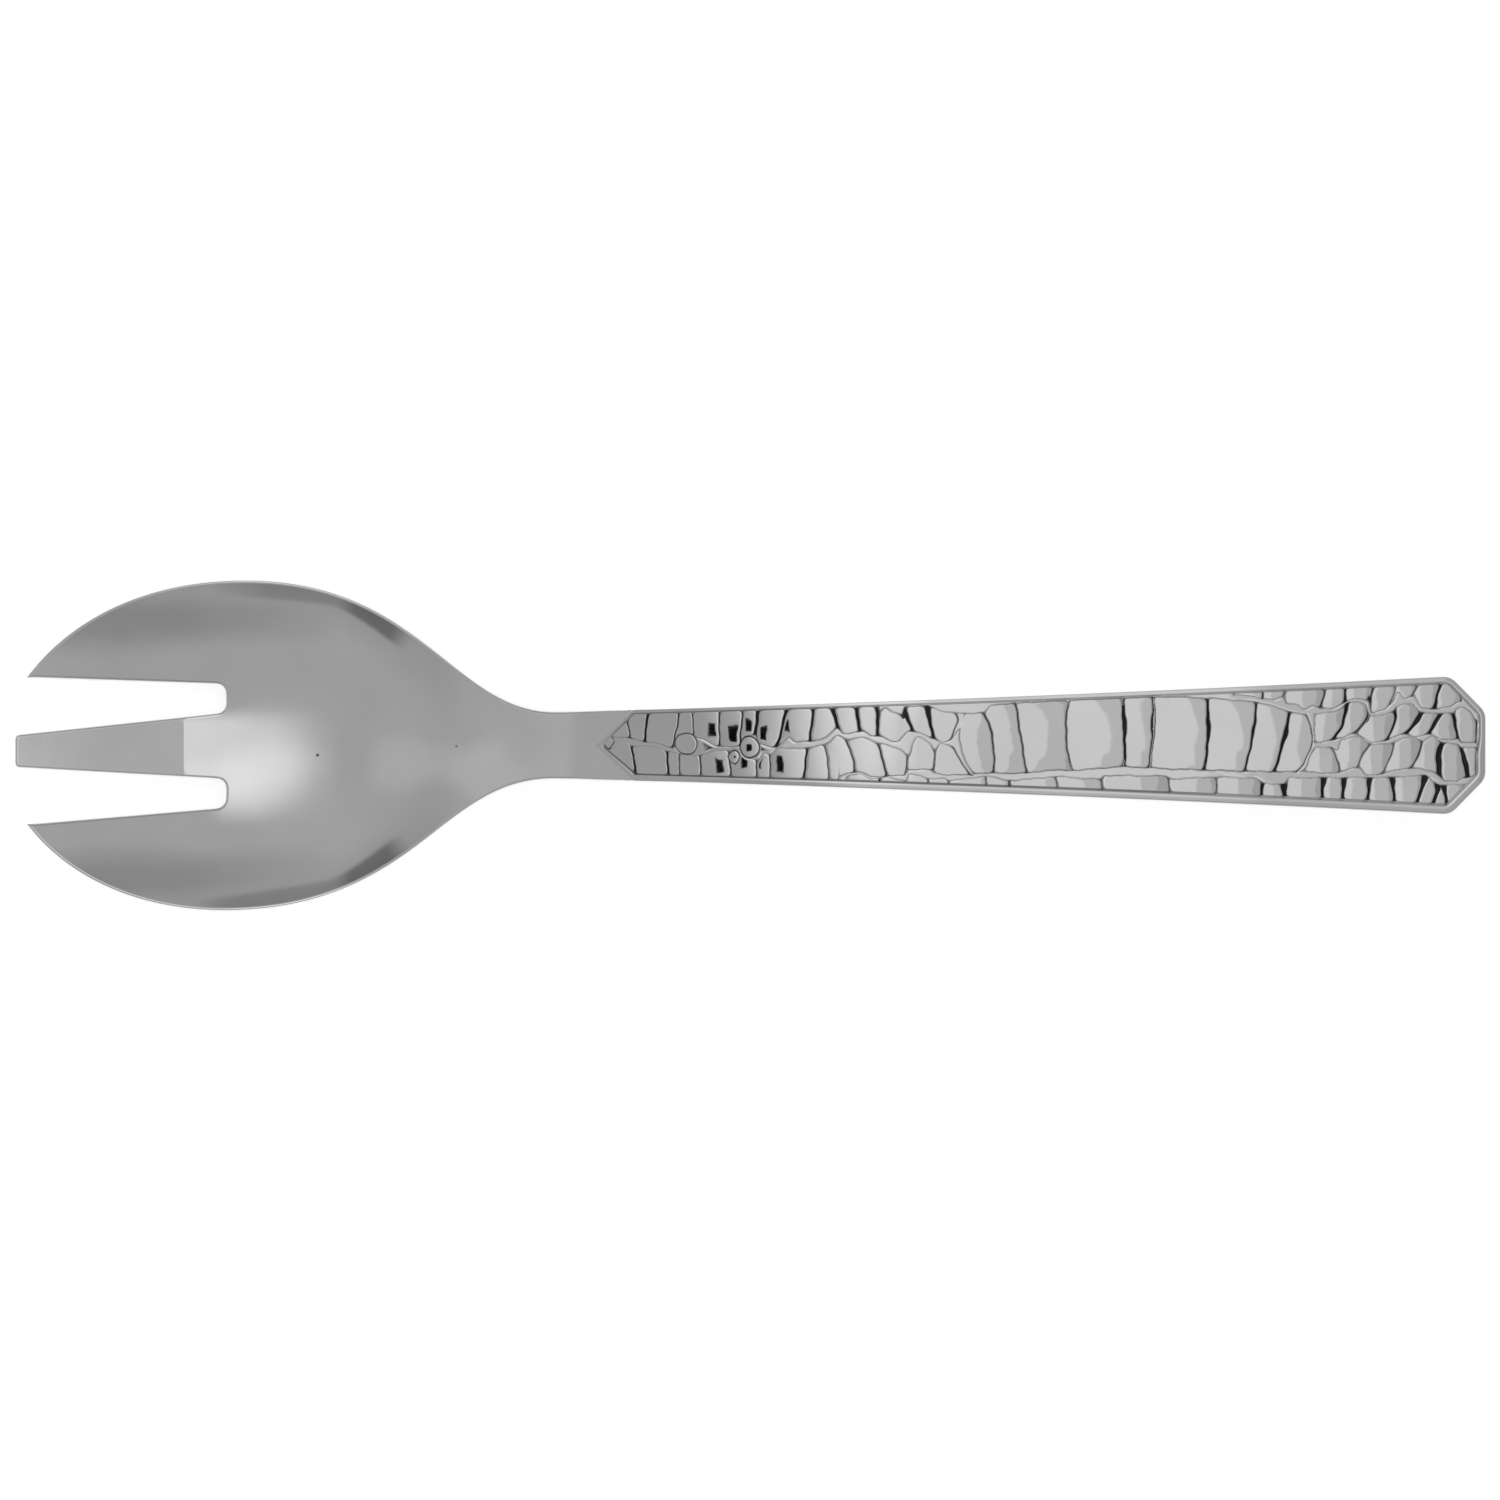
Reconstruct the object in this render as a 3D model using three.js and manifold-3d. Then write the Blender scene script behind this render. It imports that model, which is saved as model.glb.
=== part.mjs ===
// Salad serving spoon with a tined bowl and a hollow, embossed handle.
// It lies along X as it rests on a table: tines towards -X, the handle's butt towards +X, Z up.
// The origin is on the table, under the middle of the overall length.
// Four pieces: a stamped bowl with its neck and tang, two handle shells, and the resin core round the tang.
import * as THREE from "three";
import { mergeVertices } from "three/addons/utils/BufferGeometryUtils.js";
import Module from "manifold-3d";

const wasm = await Module();
wasm.setup();

// Driving dimensions, in millimetres and degrees

// Lengths along the server, from the middle tine's tip
const TIP_TO_WIDEST = 38;
const WIDEST_TO_NECK = 55;
const NECK_TO_HANDLE = 7.3;
const HANDLE_LENGTH = 153.7;

// Bowl and neck seen from above; a fullness is how far a curve runs straight on before it turns
const BOWL_WIDTH = 56.8;
const NECK_WIDTH = 11.6;
const BOWL_NOSE_FULLNESS = 4;
const BOWL_SIDE_FULLNESS = 23;
const BOWL_REAR_FULLNESS = 31.5;
const NECK_FLARE = 19;

// Set of the hand-bent bowl to one side of the handle's centre plane, at its tips and behind its widest place
const TIP_SET = -1.0;
const REAR_SET = 0.65;
const WIDEST_TO_REAR_SET = 34;

// Tines and the two slots between them
const SLOT_DEPTH = 35.5;
const SLOT_ROOT_WIDTH = 4.9;
const SLOT_CORNER_RADIUS = 1.8;
const MIDDLE_TINE_TIP_WIDTH = 5.6;
const MIDDLE_TINE_ROOT_WIDTH = 11.6;
const TINE_TIP_RADIUS = 0.9;
const OUTER_TINE_SETBACK = 2.2;
const OUTER_TINE_SPREAD = 25.2;
const OUTER_TINE_ANGLE = 56;

// Bowl and neck seen from the side
const BOWL_THICKNESS = 1.8;
const NECK_THICKNESS = 4.8;
const TINE_SECTION_RADIUS = 40;
const REAR_SECTION_RADIUS = 27;
const TINE_SLOPE = -0.36;
const TIP_TO_BEND = 28.3;
const BEND_LIFT = 4.0;
const BEND_SLOPE = -0.2;
const TIP_TO_FLOOR = 54;
const DISH_REAR_LENGTH = 28.5;
const DISH_REAR_LIFT = 11.55;
const DISH_REAR_SLOPE = 0.45;
const DISH_FADE_LENGTH = 20;

// How much of the bowl's round underside is taken off by the small flat that it stands on
const BASE_FLAT_DEPTH = 0.25;

// Handle seen from above
const HANDLE_SHOULDER_WIDTH = 12.1;
const HANDLE_BUTT_WIDTH = 24.0;
const HANDLE_SIDE_BOW = 0.4;
const NOSE_HALF_ANGLE = 45;
const BUTT_CLIP = 6.2;

// Handle seen from the side
const NOSE_LIFT = 18.95;
const NOSE_SLOPE = 0.16;
const CREST_FROM_NOSE = 18;
const CREST_LIFT = 21.25;
const STRAIGHT_LENGTH = 88;
const STRAIGHT_SLOPE = -0.17;
const NOSE_THICKNESS = 5.0;
const BUTT_THICKNESS = 7.0;

// How far the back's lower edge at the butt is hollowed, so that the handle stands on its two corners
const BUTT_ARCH = 0.15;

// Handle shells
const SHELL_WALL = 0.8;
const FRONT_BEVEL_WIDTH = 0.3;
const FRONT_BEVEL_HEIGHT = 1.0;
const BACK_BEVEL_WIDTH = 0.5;
const BACK_BEVEL_HEIGHT = 1.1;
const PANEL_STEP_WIDTH = 0.15;
const PANEL_RECESS = 0.45;

// Rim round the front shell's panel, from edge to panel: the panel sits off centre, towards the far side
const NOSE_RIM_WIDTH = 0.6;
const NEAR_RIM_WIDTH = 1.15;
const NEAR_BUTT_RIM_WIDTH = 1.7;
const FAR_RIM_WIDTH = 0.6;
const FAR_BUTT_RIM_WIDTH = 1.2;

// Embossed scales on the front shell's panel
const SCALE_HEIGHT = 0.4;
const SCALE_ROOT = 0.2;
const SCALE_SLOPE_WIDTH = 0.35;
const SCALE_CORNER = 0.7;
const GROOVE_WIDTH = 0.5;
const PATTERN_INSET = 1.8;

// Tang and core
const TANG_WIDTH = 7.0;
const TANG_TAPER = 2.2;
const TANG_THICKNESS = 1.6;
const TANG_LENGTH = 72;
const TANG_ROOT_LENGTH = 4;
const CORE_SETBACK = 14;

// Clearances between pieces
const JOINT_GAP = 0.3;
const SEAM_GAP = 0.2;
const TANG_CLEARANCE = 0.2;
const CORE_CLEARANCE = 0.2;

// Facets
const BLANK_STEP = 3;
const SLOPE_STEP = 0.01;
const BLANK_MARGIN = 1;
const CURVE_STEPS = 16;
const CORNER_STEPS = 4;
const HANDLE_STATIONS = 24;
const TANG_STEP = 6;

// Stations that the driving dimensions give

const OVERALL_LENGTH = TIP_TO_WIDEST + WIDEST_TO_NECK + NECK_TO_HANDLE + HANDLE_LENGTH;
const TIP_X = -OVERALL_LENGTH / 2;
const WIDEST_X = TIP_X + TIP_TO_WIDEST;
const NECK_X = WIDEST_X + WIDEST_TO_NECK;
const NOSE_X = NECK_X + NECK_TO_HANDLE;
const BUTT_X = NOSE_X + HANDLE_LENGTH;
const REAR_SET_X = WIDEST_X + WIDEST_TO_REAR_SET;
const SLOT_X = TIP_X + SLOT_DEPTH;
const SLOT_MIDDLE = (MIDDLE_TINE_ROOT_WIDTH + SLOT_ROOT_WIDTH) / 2;
const BEND_X = TIP_X + TIP_TO_BEND;
const TINE_TIP_LIFT = BEND_LIFT - TINE_SLOPE * TIP_TO_BEND;
const FLOOR_X = TIP_X + TIP_TO_FLOOR;
const DISH_REAR_X = FLOOR_X + DISH_REAR_LENGTH;
const STRAIGHT_X = BUTT_X - STRAIGHT_LENGTH;
const NOSE_ANGLE = THREE.MathUtils.degToRad(NOSE_HALF_ANGLE);
const SHOULDER_X = NOSE_X + HANDLE_SHOULDER_WIDTH / 2 / Math.tan(NOSE_ANGLE);
const CLIP_X = BUTT_X - BUTT_CLIP;
const BUTT_HALF_WIDTH = HANDLE_BUTT_WIDTH / 2 - BUTT_CLIP;
const NOTCH_SHIFT = JOINT_GAP / Math.sin(NOSE_ANGLE);
const PATTERN_NOSE_X = NOSE_X + PATTERN_INSET / Math.sin(NOSE_ANGLE);
const PATTERN_END_X = BUTT_X - PATTERN_INSET;

// Curves along the server

const mix = THREE.MathUtils.lerp;
const smooth = THREE.MathUtils.smoothstep;

// The two neighbours of a place in a list that is sorted by place, and how far it lies between them.
function span(list, place, placeOf) {
  const next = list.findIndex((entry) => place <= placeOf(entry));
  const index = THREE.MathUtils.clamp(next < 0 ? list.length - 1 : next, 1, list.length - 1);
  const from = list[index - 1];
  const to = list[index];
  return { from, to, t: (place - placeOf(from)) / (placeOf(to) - placeOf(from)) };
}

// Height through stations { x, z, slope }, each pair joined by a cubic with those slopes at its ends.
function profile(stations) {
  return (x) => {
    const { from, to, t } = span(stations, x, (station) => station.x);
    const run = to.x - from.x;
    const leave = t * (1 - t) * (1 - t) * run * from.slope;
    const arrive = t * t * (t - 1) * run * to.slope;
    return from.z + (to.z - from.z) * t * t * (3 - 2 * t) + leave + arrive;
  };
}

// Half the handle's thickness, which grows evenly from its nose to its butt.
function handleHalf(x) {
  return mix(NOSE_THICKNESS, BUTT_THICKNESS, (x - NOSE_X) / HANDLE_LENGTH) / 2;
}

// Height of the middle of the metal on the centre plane. The bowl's floor and the butt touch the table.
// The middle tine runs straight down to the bend where the dish begins.
const midline = profile([
  { x: TIP_X, z: TINE_TIP_LIFT, slope: TINE_SLOPE },
  { x: BEND_X, z: BEND_LIFT, slope: TINE_SLOPE },
  { x: BEND_X, z: BEND_LIFT, slope: BEND_SLOPE },
  { x: FLOOR_X, z: BOWL_THICKNESS / 2 - BASE_FLAT_DEPTH, slope: 0 },
  { x: DISH_REAR_X, z: DISH_REAR_LIFT, slope: DISH_REAR_SLOPE },
  { x: NOSE_X, z: NOSE_LIFT, slope: NOSE_SLOPE },
  { x: NOSE_X + CREST_FROM_NOSE, z: CREST_LIFT, slope: 0 },
  { x: STRAIGHT_X, z: handleHalf(BUTT_X) - STRAIGHT_SLOPE * STRAIGHT_LENGTH, slope: STRAIGHT_SLOPE },
  { x: BUTT_X, z: handleHalf(BUTT_X), slope: STRAIGHT_SLOPE },
]);

// The outer tines curve up evenly from the slots' roots, without that bend.
const rootRise = midline(SLOT_X + SLOPE_STEP) - midline(SLOT_X - SLOPE_STEP);
const outerTine = profile([
  { x: TIP_X, z: TINE_TIP_LIFT, slope: TINE_SLOPE },
  { x: SLOT_X, z: midline(SLOT_X), slope: rootRise / (2 * SLOPE_STEP) },
]);

// How far the bowl's centre line strays from the handle's: none at its widest place, nor at the neck.
const bowlSet = profile([
  { x: TIP_X, z: TIP_SET, slope: -TIP_SET / TIP_TO_WIDEST },
  { x: WIDEST_X, z: 0, slope: -TIP_SET / TIP_TO_WIDEST },
  { x: REAR_SET_X, z: REAR_SET, slope: 0 },
  { x: NECK_X, z: 0, slope: 0 },
  { x: SHOULDER_X, z: 0, slope: 0 },
]);

// Half the stamped sheet's thickness, which grows from the bowl's floor to the handle.
function sheetHalf(x) {
  return mix(BOWL_THICKNESS, NECK_THICKNESS, smooth(x, FLOOR_X, NOSE_X)) / 2;
}

// How far the sheet curls up beside its centre line: a trough, tighter to the rear, that ends in the neck.
function curl(x, y) {
  const reach = DISH_FADE_LENGTH / 2;
  const fade = 1 - smooth(x, DISH_REAR_X - reach, DISH_REAR_X + reach);
  const radius = mix(TINE_SECTION_RADIUS, REAR_SECTION_RADIUS, (x - TIP_X) / (DISH_REAR_X - TIP_X));
  const aside = y - bowlSet(x);
  return (fade * aside * aside) / (2 * radius);
}

// Height of the middle of the sheet.
function sheetMiddle(x, y) {
  const onOuterTine = x < SLOT_X && Math.abs(y - bowlSet(x)) > SLOT_MIDDLE;
  return (onOuterTine ? outerTine(x) : midline(x)) + curl(x, y);
}

// Half the handle's width between its shoulder and its clipped butt; the sides bow in a little.
function handleSide(x) {
  const t = (x - SHOULDER_X) / (CLIP_X - SHOULDER_X);
  return mix(HANDLE_SHOULDER_WIDTH, HANDLE_BUTT_WIDTH, t) / 2 - 4 * HANDLE_SIDE_BOW * t * (1 - t);
}

// Width of the rim at a point of the handle's outline. Near is towards -Y.
function rimWidth({ x, y }) {
  if (x < SHOULDER_X) return NOSE_RIM_WIDTH;
  const t = Math.min((x - SHOULDER_X) / (CLIP_X - SHOULDER_X), 1);
  const near = mix(NEAR_RIM_WIDTH, NEAR_BUTT_RIM_WIDTH, t);
  const far = mix(FAR_RIM_WIDTH, FAR_BUTT_RIM_WIDTH, t);
  return y < 0 ? near : far;
}

// Solids

// Evenly spaced values from one end to the other, no further apart than the step.
function spaced(from, to, step) {
  const count = Math.ceil((to - from) / step);
  return Array.from({ length: count + 1 }, (_, i) => mix(from, to, i / count));
}

function solidOf(geometry) {
  geometry.deleteAttribute("normal");
  geometry.deleteAttribute("uv");
  const merged = mergeVertices(geometry, 1e-4);
  return new wasm.Manifold(
    new wasm.Mesh({
      numProp: 3,
      vertProperties: merged.attributes.position.array,
      triVerts: new Uint32Array(merged.index.array),
    }),
  );
}

function geometryOf(solid) {
  const { vertProperties, triVerts } = solid.getMesh();
  const geometry = new THREE.BufferGeometry();
  geometry.setAttribute("position", new THREE.BufferAttribute(vertProperties, 3));
  geometry.setIndex(new THREE.BufferAttribute(triVerts, 1));
  geometry.computeVertexNormals();
  return geometry;
}

// Cross strips that close a ring whose two sides face each other.
// A pointed ring starts at a point of its own, and has one in the middle of its far end.
function strips(size, pointed) {
  const first = pointed ? 1 : 0;
  const half = size / 2;
  const faces = pointed ? [[0, 1, size - 1]] : [];
  for (let i = first; i + 1 < half - first; i++) {
    const far = size - 1 - i + first;
    faces.push([i, i + 1, far - 1], [i, far - 1, far]);
  }
  if (pointed) {
    faces.push([half - 2, half - 1, half], [half - 2, half, half + 2], [half + 2, half, half + 1]);
  }
  return faces;
}

// The solid inside a skin over closed rings of as many points each, the first and last closed by strips.
function skinned(rings, pointed = false) {
  const size = rings[0].length;
  const last = (rings.length - 1) * size;
  const faces = [];
  for (let low = 0; low < last; low += size)
    for (let i = 0; i < size; i++) {
      const next = (i + 1) % size;
      faces.push([low + i, low + next, low + size + next]);
      faces.push([low + i, low + size + next, low + size + i]);
    }
  for (const [a, b, c] of strips(size, pointed)) {
    faces.push([a, c, b]);
    faces.push([last + a, last + b, last + c]);
  }
  const geometry = new THREE.BufferGeometry().setFromPoints(rings.flat());
  geometry.setIndex(faces.flat());
  return solidOf(geometry);
}

// A bent sheet over stations along X, each with its own stations across, between two surfaces.
function bentSheet(xs, across, lower, upper) {
  return skinned(
    xs.map((x) => {
      const under = across(x).map((y) => new THREE.Vector3(x, y, lower(x, y)));
      const over = across(x).map((y) => new THREE.Vector3(x, y, upper(x, y)));
      return [...under, ...over.reverse()];
    }),
  );
}

// An upright prism over an outline, tall enough to trim any piece of the server.
function prism(outline) {
  const geometry = new THREE.ExtrudeGeometry(new THREE.Shape(outline), {
    depth: OVERALL_LENGTH,
    bevelEnabled: false,
  });
  return solidOf(geometry.translate(0, 0, -OVERALL_LENGTH / 2));
}

// The outline, anticlockwise, moved inwards with its corners kept, by one distance or one for each point.
function inset(outline, distance) {
  const count = outline.length;
  const distanceAt = typeof distance === "function" ? distance : () => distance;
  return outline.map((point, i) => {
    const before = point.clone().sub(outline[(i + count - 1) % count]).normalize();
    const after = outline[(i + 1) % count].clone().sub(point).normalize();
    const along = before.clone().add(after).normalize();
    const inward = new THREE.Vector2(-along.y, along.x);
    return point.clone().addScaledVector(inward, distanceAt(point) / along.dot(before));
  });
}

const mirrored = (points) => points.map((p) => new THREE.Vector2(p.x, -p.y));

// Stamped bowl, neck and tang

// Runs the path to a corner, round it with about that radius, and on towards the next point.
function roundCorner(path, corner, next, radius) {
  const into = corner.clone().sub(path.currentPoint).setLength(radius);
  const out = next.clone().sub(corner).setLength(radius);
  path.lineTo(corner.x - into.x, corner.y - into.y);
  path.quadraticCurveTo(corner.x, corner.y, corner.x + out.x, corner.y + out.y);
}

// One side of the stamped blank: the middle tine's tip, a slot, the bowl, and the notch in the neck.
function blankSide() {
  const tineTip = new THREE.Vector2(TIP_X, MIDDLE_TINE_TIP_WIDTH / 2);
  const rootInner = new THREE.Vector2(SLOT_X, MIDDLE_TINE_ROOT_WIDTH / 2);
  const rootOuter = new THREE.Vector2(SLOT_X, MIDDLE_TINE_ROOT_WIDTH / 2 + SLOT_ROOT_WIDTH);
  const outerTip = new THREE.Vector2(TIP_X + OUTER_TINE_SETBACK, OUTER_TINE_SPREAD / 2);
  const lean = THREE.MathUtils.degToRad(OUTER_TINE_ANGLE);
  const outward = new THREE.Vector2(Math.cos(lean), Math.sin(lean));
  const leave = outerTip.clone().addScaledVector(outward, BOWL_NOSE_FULLNESS);
  const bowlHalf = BOWL_WIDTH / 2;
  const neckHalf = NECK_WIDTH / 2;
  const prong = new THREE.Vector2(SHOULDER_X - NOTCH_SHIFT, HANDLE_SHOULDER_WIDTH / 2);
  const easeX = (NECK_X + prong.x) / 2;

  const path = new THREE.Path();
  path.moveTo(TIP_X, 0);
  roundCorner(path, tineTip, rootInner, TINE_TIP_RADIUS);
  roundCorner(path, rootInner, rootOuter, SLOT_CORNER_RADIUS);
  roundCorner(path, rootOuter, outerTip, SLOT_CORNER_RADIUS);
  path.lineTo(outerTip.x, outerTip.y);
  path.bezierCurveTo(leave.x, leave.y, WIDEST_X - BOWL_SIDE_FULLNESS, bowlHalf, WIDEST_X, bowlHalf);
  const rearX = WIDEST_X + BOWL_REAR_FULLNESS;
  path.bezierCurveTo(rearX, bowlHalf, NECK_X - NECK_FLARE, neckHalf, NECK_X, neckHalf);
  path.bezierCurveTo(easeX, neckHalf, easeX, prong.y, prong.x, prong.y);
  path.lineTo(NOSE_X - NOTCH_SHIFT, 0);

  const steps = { LineCurve: 1, QuadraticBezierCurve: CORNER_STEPS, CubicBezierCurve: CURVE_STEPS };
  return path.curves.flatMap((curve) => curve.getPoints(steps[curve.type]).slice(1));
}

// The tang's strap in the middle of the handle's hollow, grown by a clearance where it cuts a neighbour.
function tang(clearance) {
  const startX = NOSE_X - TANG_ROOT_LENGTH;
  const endX = NOSE_X + TANG_LENGTH + clearance;
  const half = (x) => (TANG_WIDTH - TANG_TAPER * smooth(x, NOSE_X, endX)) / 2 + clearance;
  const middle = (x) => midline(x) - PANEL_RECESS / 2;
  const rise = TANG_THICKNESS / 2 + clearance;
  return bentSheet(
    spaced(startX, endX, TANG_STEP),
    (x) => [-half(x), half(x)],
    (x) => middle(x) - rise,
    (x) => middle(x) + rise,
  );
}

function tinedBowl() {
  const side = blankSide();
  const straight = [...mirrored(side), ...side.slice(0, -1).reverse()];
  const outline = straight.map(({ x, y }) => new THREE.Vector2(x, y + bowlSet(x)));
  const reach = BOWL_WIDTH / 2 + BLANK_MARGIN;
  const ys = [...spaced(-reach, 0, BLANK_STEP), ...spaced(0, reach, BLANK_STEP).slice(1)];
  const xs = [
    ...spaced(TIP_X - BLANK_MARGIN, BEND_X, BLANK_STEP),
    ...spaced(BEND_X, FLOOR_X, BLANK_STEP).slice(1),
    ...spaced(FLOOR_X, SHOULDER_X + BLANK_MARGIN, BLANK_STEP).slice(1),
  ];
  const sheet = bentSheet(
    xs,
    () => ys,
    (x, y) => Math.max(sheetMiddle(x, y) - sheetHalf(x), 0),
    (x, y) => sheetMiddle(x, y) + sheetHalf(x),
  );
  return sheet.intersect(prism(outline)).add(tang(0));
}

// Handle shells and core

// The handle's outline, anticlockwise from the point of its nose along one side to the butt, and back.
function handleOutline() {
  const side = Array.from({ length: HANDLE_STATIONS + 1 }, (_, i) => {
    const x = mix(SHOULDER_X, CLIP_X, i / HANDLE_STATIONS);
    return new THREE.Vector2(x, handleSide(x));
  });
  side.push(new THREE.Vector2(BUTT_X, HANDLE_BUTT_WIDTH / 2 - BUTT_CLIP));
  return [new THREE.Vector2(NOSE_X, 0), ...mirrored(side), ...side.reverse()];
}

// A ring of the handle: its outline moved inwards, with a point in the middle of its butt, at a height
// over the midline that follows X, and Y where it has to.
function handleRing(distance, height) {
  const ring = inset(handleOutline(), distance);
  const farCorner = (ring.length + 1) / 2;
  ring.splice(farCorner, 0, ring[farCorner - 1].clone().lerp(ring[farCorner], 0.5));
  return ring.map(({ x, y }) => new THREE.Vector3(x, y, midline(x) + height(x, y)));
}

const panelFloor = (x) => handleHalf(x) - PANEL_RECESS;
const frontCeiling = (x) => panelFloor(x) - SHELL_WALL;
const backFloor = (x) => SHELL_WALL - handleHalf(x);

// How far the back is hollowed up at the butt, most in the middle of its lower edge.
function buttArch(x, y) {
  return BUTT_ARCH * smooth(x, CLIP_X, BUTT_X) * (1 - (y / BUTT_HALF_WIDTH) ** 2);
}

// The struck front: the hollow's ceiling, the seam, the bevelled side, the rim and the sunk panel.
function frontShell() {
  const seam = () => SEAM_GAP / 2;
  const shell = skinned([
    handleRing(SHELL_WALL, frontCeiling),
    handleRing(SHELL_WALL, seam),
    handleRing(0, seam),
    handleRing(0, (x) => handleHalf(x) - FRONT_BEVEL_HEIGHT),
    handleRing(FRONT_BEVEL_WIDTH, handleHalf),
    handleRing((point) => rimWidth(point) - PANEL_STEP_WIDTH, handleHalf),
    handleRing(rimWidth, panelFloor),
  ], true);
  const panel = prism(inset(handleOutline(), (point) => rimWidth(point) + GROOVE_WIDTH / 2));
  const scales = scaleCells().map((cell) => scalePad(cell).intersect(panel));
  return scales.reduce((struck, pad) => struck.add(pad), shell.subtract(tang(TANG_CLEARANCE)));
}

// The plain back: from its flat up the side to the seam, and down into the hollow.
function backShell() {
  const seam = () => -SEAM_GAP / 2;
  const shell = skinned([
    handleRing(BACK_BEVEL_WIDTH, (x, y) => buttArch(x, y) - handleHalf(x)),
    handleRing(0, (x) => BACK_BEVEL_HEIGHT - handleHalf(x)),
    handleRing(0, seam),
    handleRing(SHELL_WALL, seam),
    handleRing(SHELL_WALL, backFloor),
  ], true);
  return shell.subtract(tang(TANG_CLEARANCE));
}

// The resin that fills the hollow behind the nose and grips the tang.
function handleCore() {
  const distance = SHELL_WALL + CORE_CLEARANCE;
  const fill = skinned([
    handleRing(distance, (x) => backFloor(x) + CORE_CLEARANCE),
    handleRing(distance, (x) => frontCeiling(x) - CORE_CLEARANCE),
  ], true);
  const frontX = NOSE_X + CORE_SETBACK;
  const half = HANDLE_BUTT_WIDTH / 2;
  const behindFront = prism([
    new THREE.Vector2(frontX, -half),
    new THREE.Vector2(BUTT_X, -half),
    new THREE.Vector2(BUTT_X, half),
    new THREE.Vector2(frontX, half),
  ]);
  return fill.intersect(behindFront).subtract(tang(TANG_CLEARANCE));
}

// Crocodile scales
// The pattern is laid out on the handle's outline moved inwards by its inset, and the panel trims it.
// A place along the pattern is in thousandths of its length, from its point to its butt.
// A place across is a share of half its width, from -1 at one long edge to 1 at the other.

// A line along the pattern through places [along, across], straight between them.
function line(...places) {
  return (along) => {
    const { from, to, t } = span(places, along, (place) => place[0]);
    return mix(from[1], to[1], THREE.MathUtils.clamp(t, 0, 1));
  };
}

const LOW_EDGE = line([0, -1.3], [1000, -1.3]);
const HIGH_EDGE = line([0, 1.3], [1000, 1.3]);
const RIDGE = line([0, -0.05], [190, -0.08], [262, 0.13], [340, 0.16], [404, 0.02]);
const REAR_RIDGE = line([795, -0.06], [842, 0.06], [900, 0.05], [950, 0.13], [970, 0.02]);
const SHELF = line([250, -1.3], [274, -0.86], [341, -0.8], [478, -0.71], [600, -0.61], [742, -0.67]);
const CREST = line([715, 1.3], [742, 0.92], [816, 0.66], [843, 0.74], [878, 0.6], [904, 0.76], [960, 0.62]);

// Rows of scales between two lines, parted by cuts. A cut leans by so much along for each step across.
const SCALE_ROWS = [
  { low: RIDGE, high: HIGH_EDGE, lean: 0.05, cuts: [-11, 26, 52, 86, 102, 132, 158, 179, 210] },
  { low: RIDGE, high: HIGH_EDGE, lean: -0.25, cuts: [210, 237, 261, 286, 309, 344, 370, 404] },
  { low: LOW_EDGE, high: RIDGE, lean: 0.1, cuts: [11, 39, 73, 89, 114, 146, 175, 190] },
  { low: SHELF, high: RIDGE, lean: -0.1, cuts: [190, 228, 254, 280, 316, 342, 373, 414] },
  { low: SHELF, high: CREST, lean: -0.12, cuts: [410, 436, 473, 527, 588, 622, 685] },
  { low: SHELF, high: CREST, lean: 0.14, cuts: [685, 738, 775, 801] },
  { low: REAR_RIDGE, high: CREST, lean: 0.4, cuts: [806, 842, 868, 900, 926, 948, 969, 998] },
  { low: SHELF, high: REAR_RIDGE, lean: 0.15, cuts: [797, 837, 868, 899, 931, 953, 985, 1010] },
  { low: LOW_EDGE, high: SHELF, lean: 0.1, cuts: [270, 314, 341, 370, 394, 432, 462, 514, 567, 642, 695] },
  { low: LOW_EDGE, high: SHELF, lean: 0.1, cuts: [695, 747, 779, 817, 842, 869, 900, 932, 951, 989] },
  { low: CREST, high: HIGH_EDGE, lean: 0.3, cuts: [730, 749, 783, 816, 843, 878, 904, 926, 953, 980, 1010] },
];

// The end of a cut on a line across its row, shifted along by its lean.
function cutEnd(row, cut, across) {
  const x = mix(PATTERN_NOSE_X, PATTERN_END_X, cut / 1000);
  const half = handleSide(x) - PATTERN_INSET;
  const fromMiddle = across - (row.low(cut) + row.high(cut)) / 2;
  return new THREE.Vector2(x + row.lean * half * fromMiddle, half * across);
}

// The four corners of every scale, anticlockwise.
function scaleCells() {
  return SCALE_ROWS.flatMap((row) =>
    row.cuts.slice(1).map((end, i) => {
      const start = row.cuts[i];
      return [
        cutEnd(row, start, row.low(start)),
        cutEnd(row, end, row.low(end)),
        cutEnd(row, end, row.high(end)),
        cutEnd(row, start, row.high(start)),
      ];
    }),
  );
}

// A scale: its cell less half a groove, with clipped corners and sloping sides, rooted in the panel's floor.
function scalePad(cell) {
  const base = inset(cell, GROOVE_WIDTH / 2);
  const clipped = base.flatMap((corner, i) => {
    const before = base[(i + 3) % 4].clone().sub(corner);
    const after = base[(i + 1) % 4].clone().sub(corner);
    const clip = Math.min(SCALE_CORNER, before.length() / 4, after.length() / 4);
    return [corner.clone().add(before.setLength(clip)), corner.clone().add(after.setLength(clip))];
  });
  const ring = (outline, height) =>
    outline.map(({ x, y }) => new THREE.Vector3(x, y, midline(x) + panelFloor(x) + height));
  return skinned([
    ring(clipped, -SCALE_ROOT),
    ring(clipped, 0),
    ring(inset(clipped, SCALE_SLOPE_WIDTH), SCALE_HEIGHT),
  ]);
}

// Assembly

function piece(name, solid, finish) {
  const mesh = new THREE.Mesh(geometryOf(solid), new THREE.MeshStandardMaterial(finish));
  mesh.name = name;
  return mesh;
}

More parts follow.
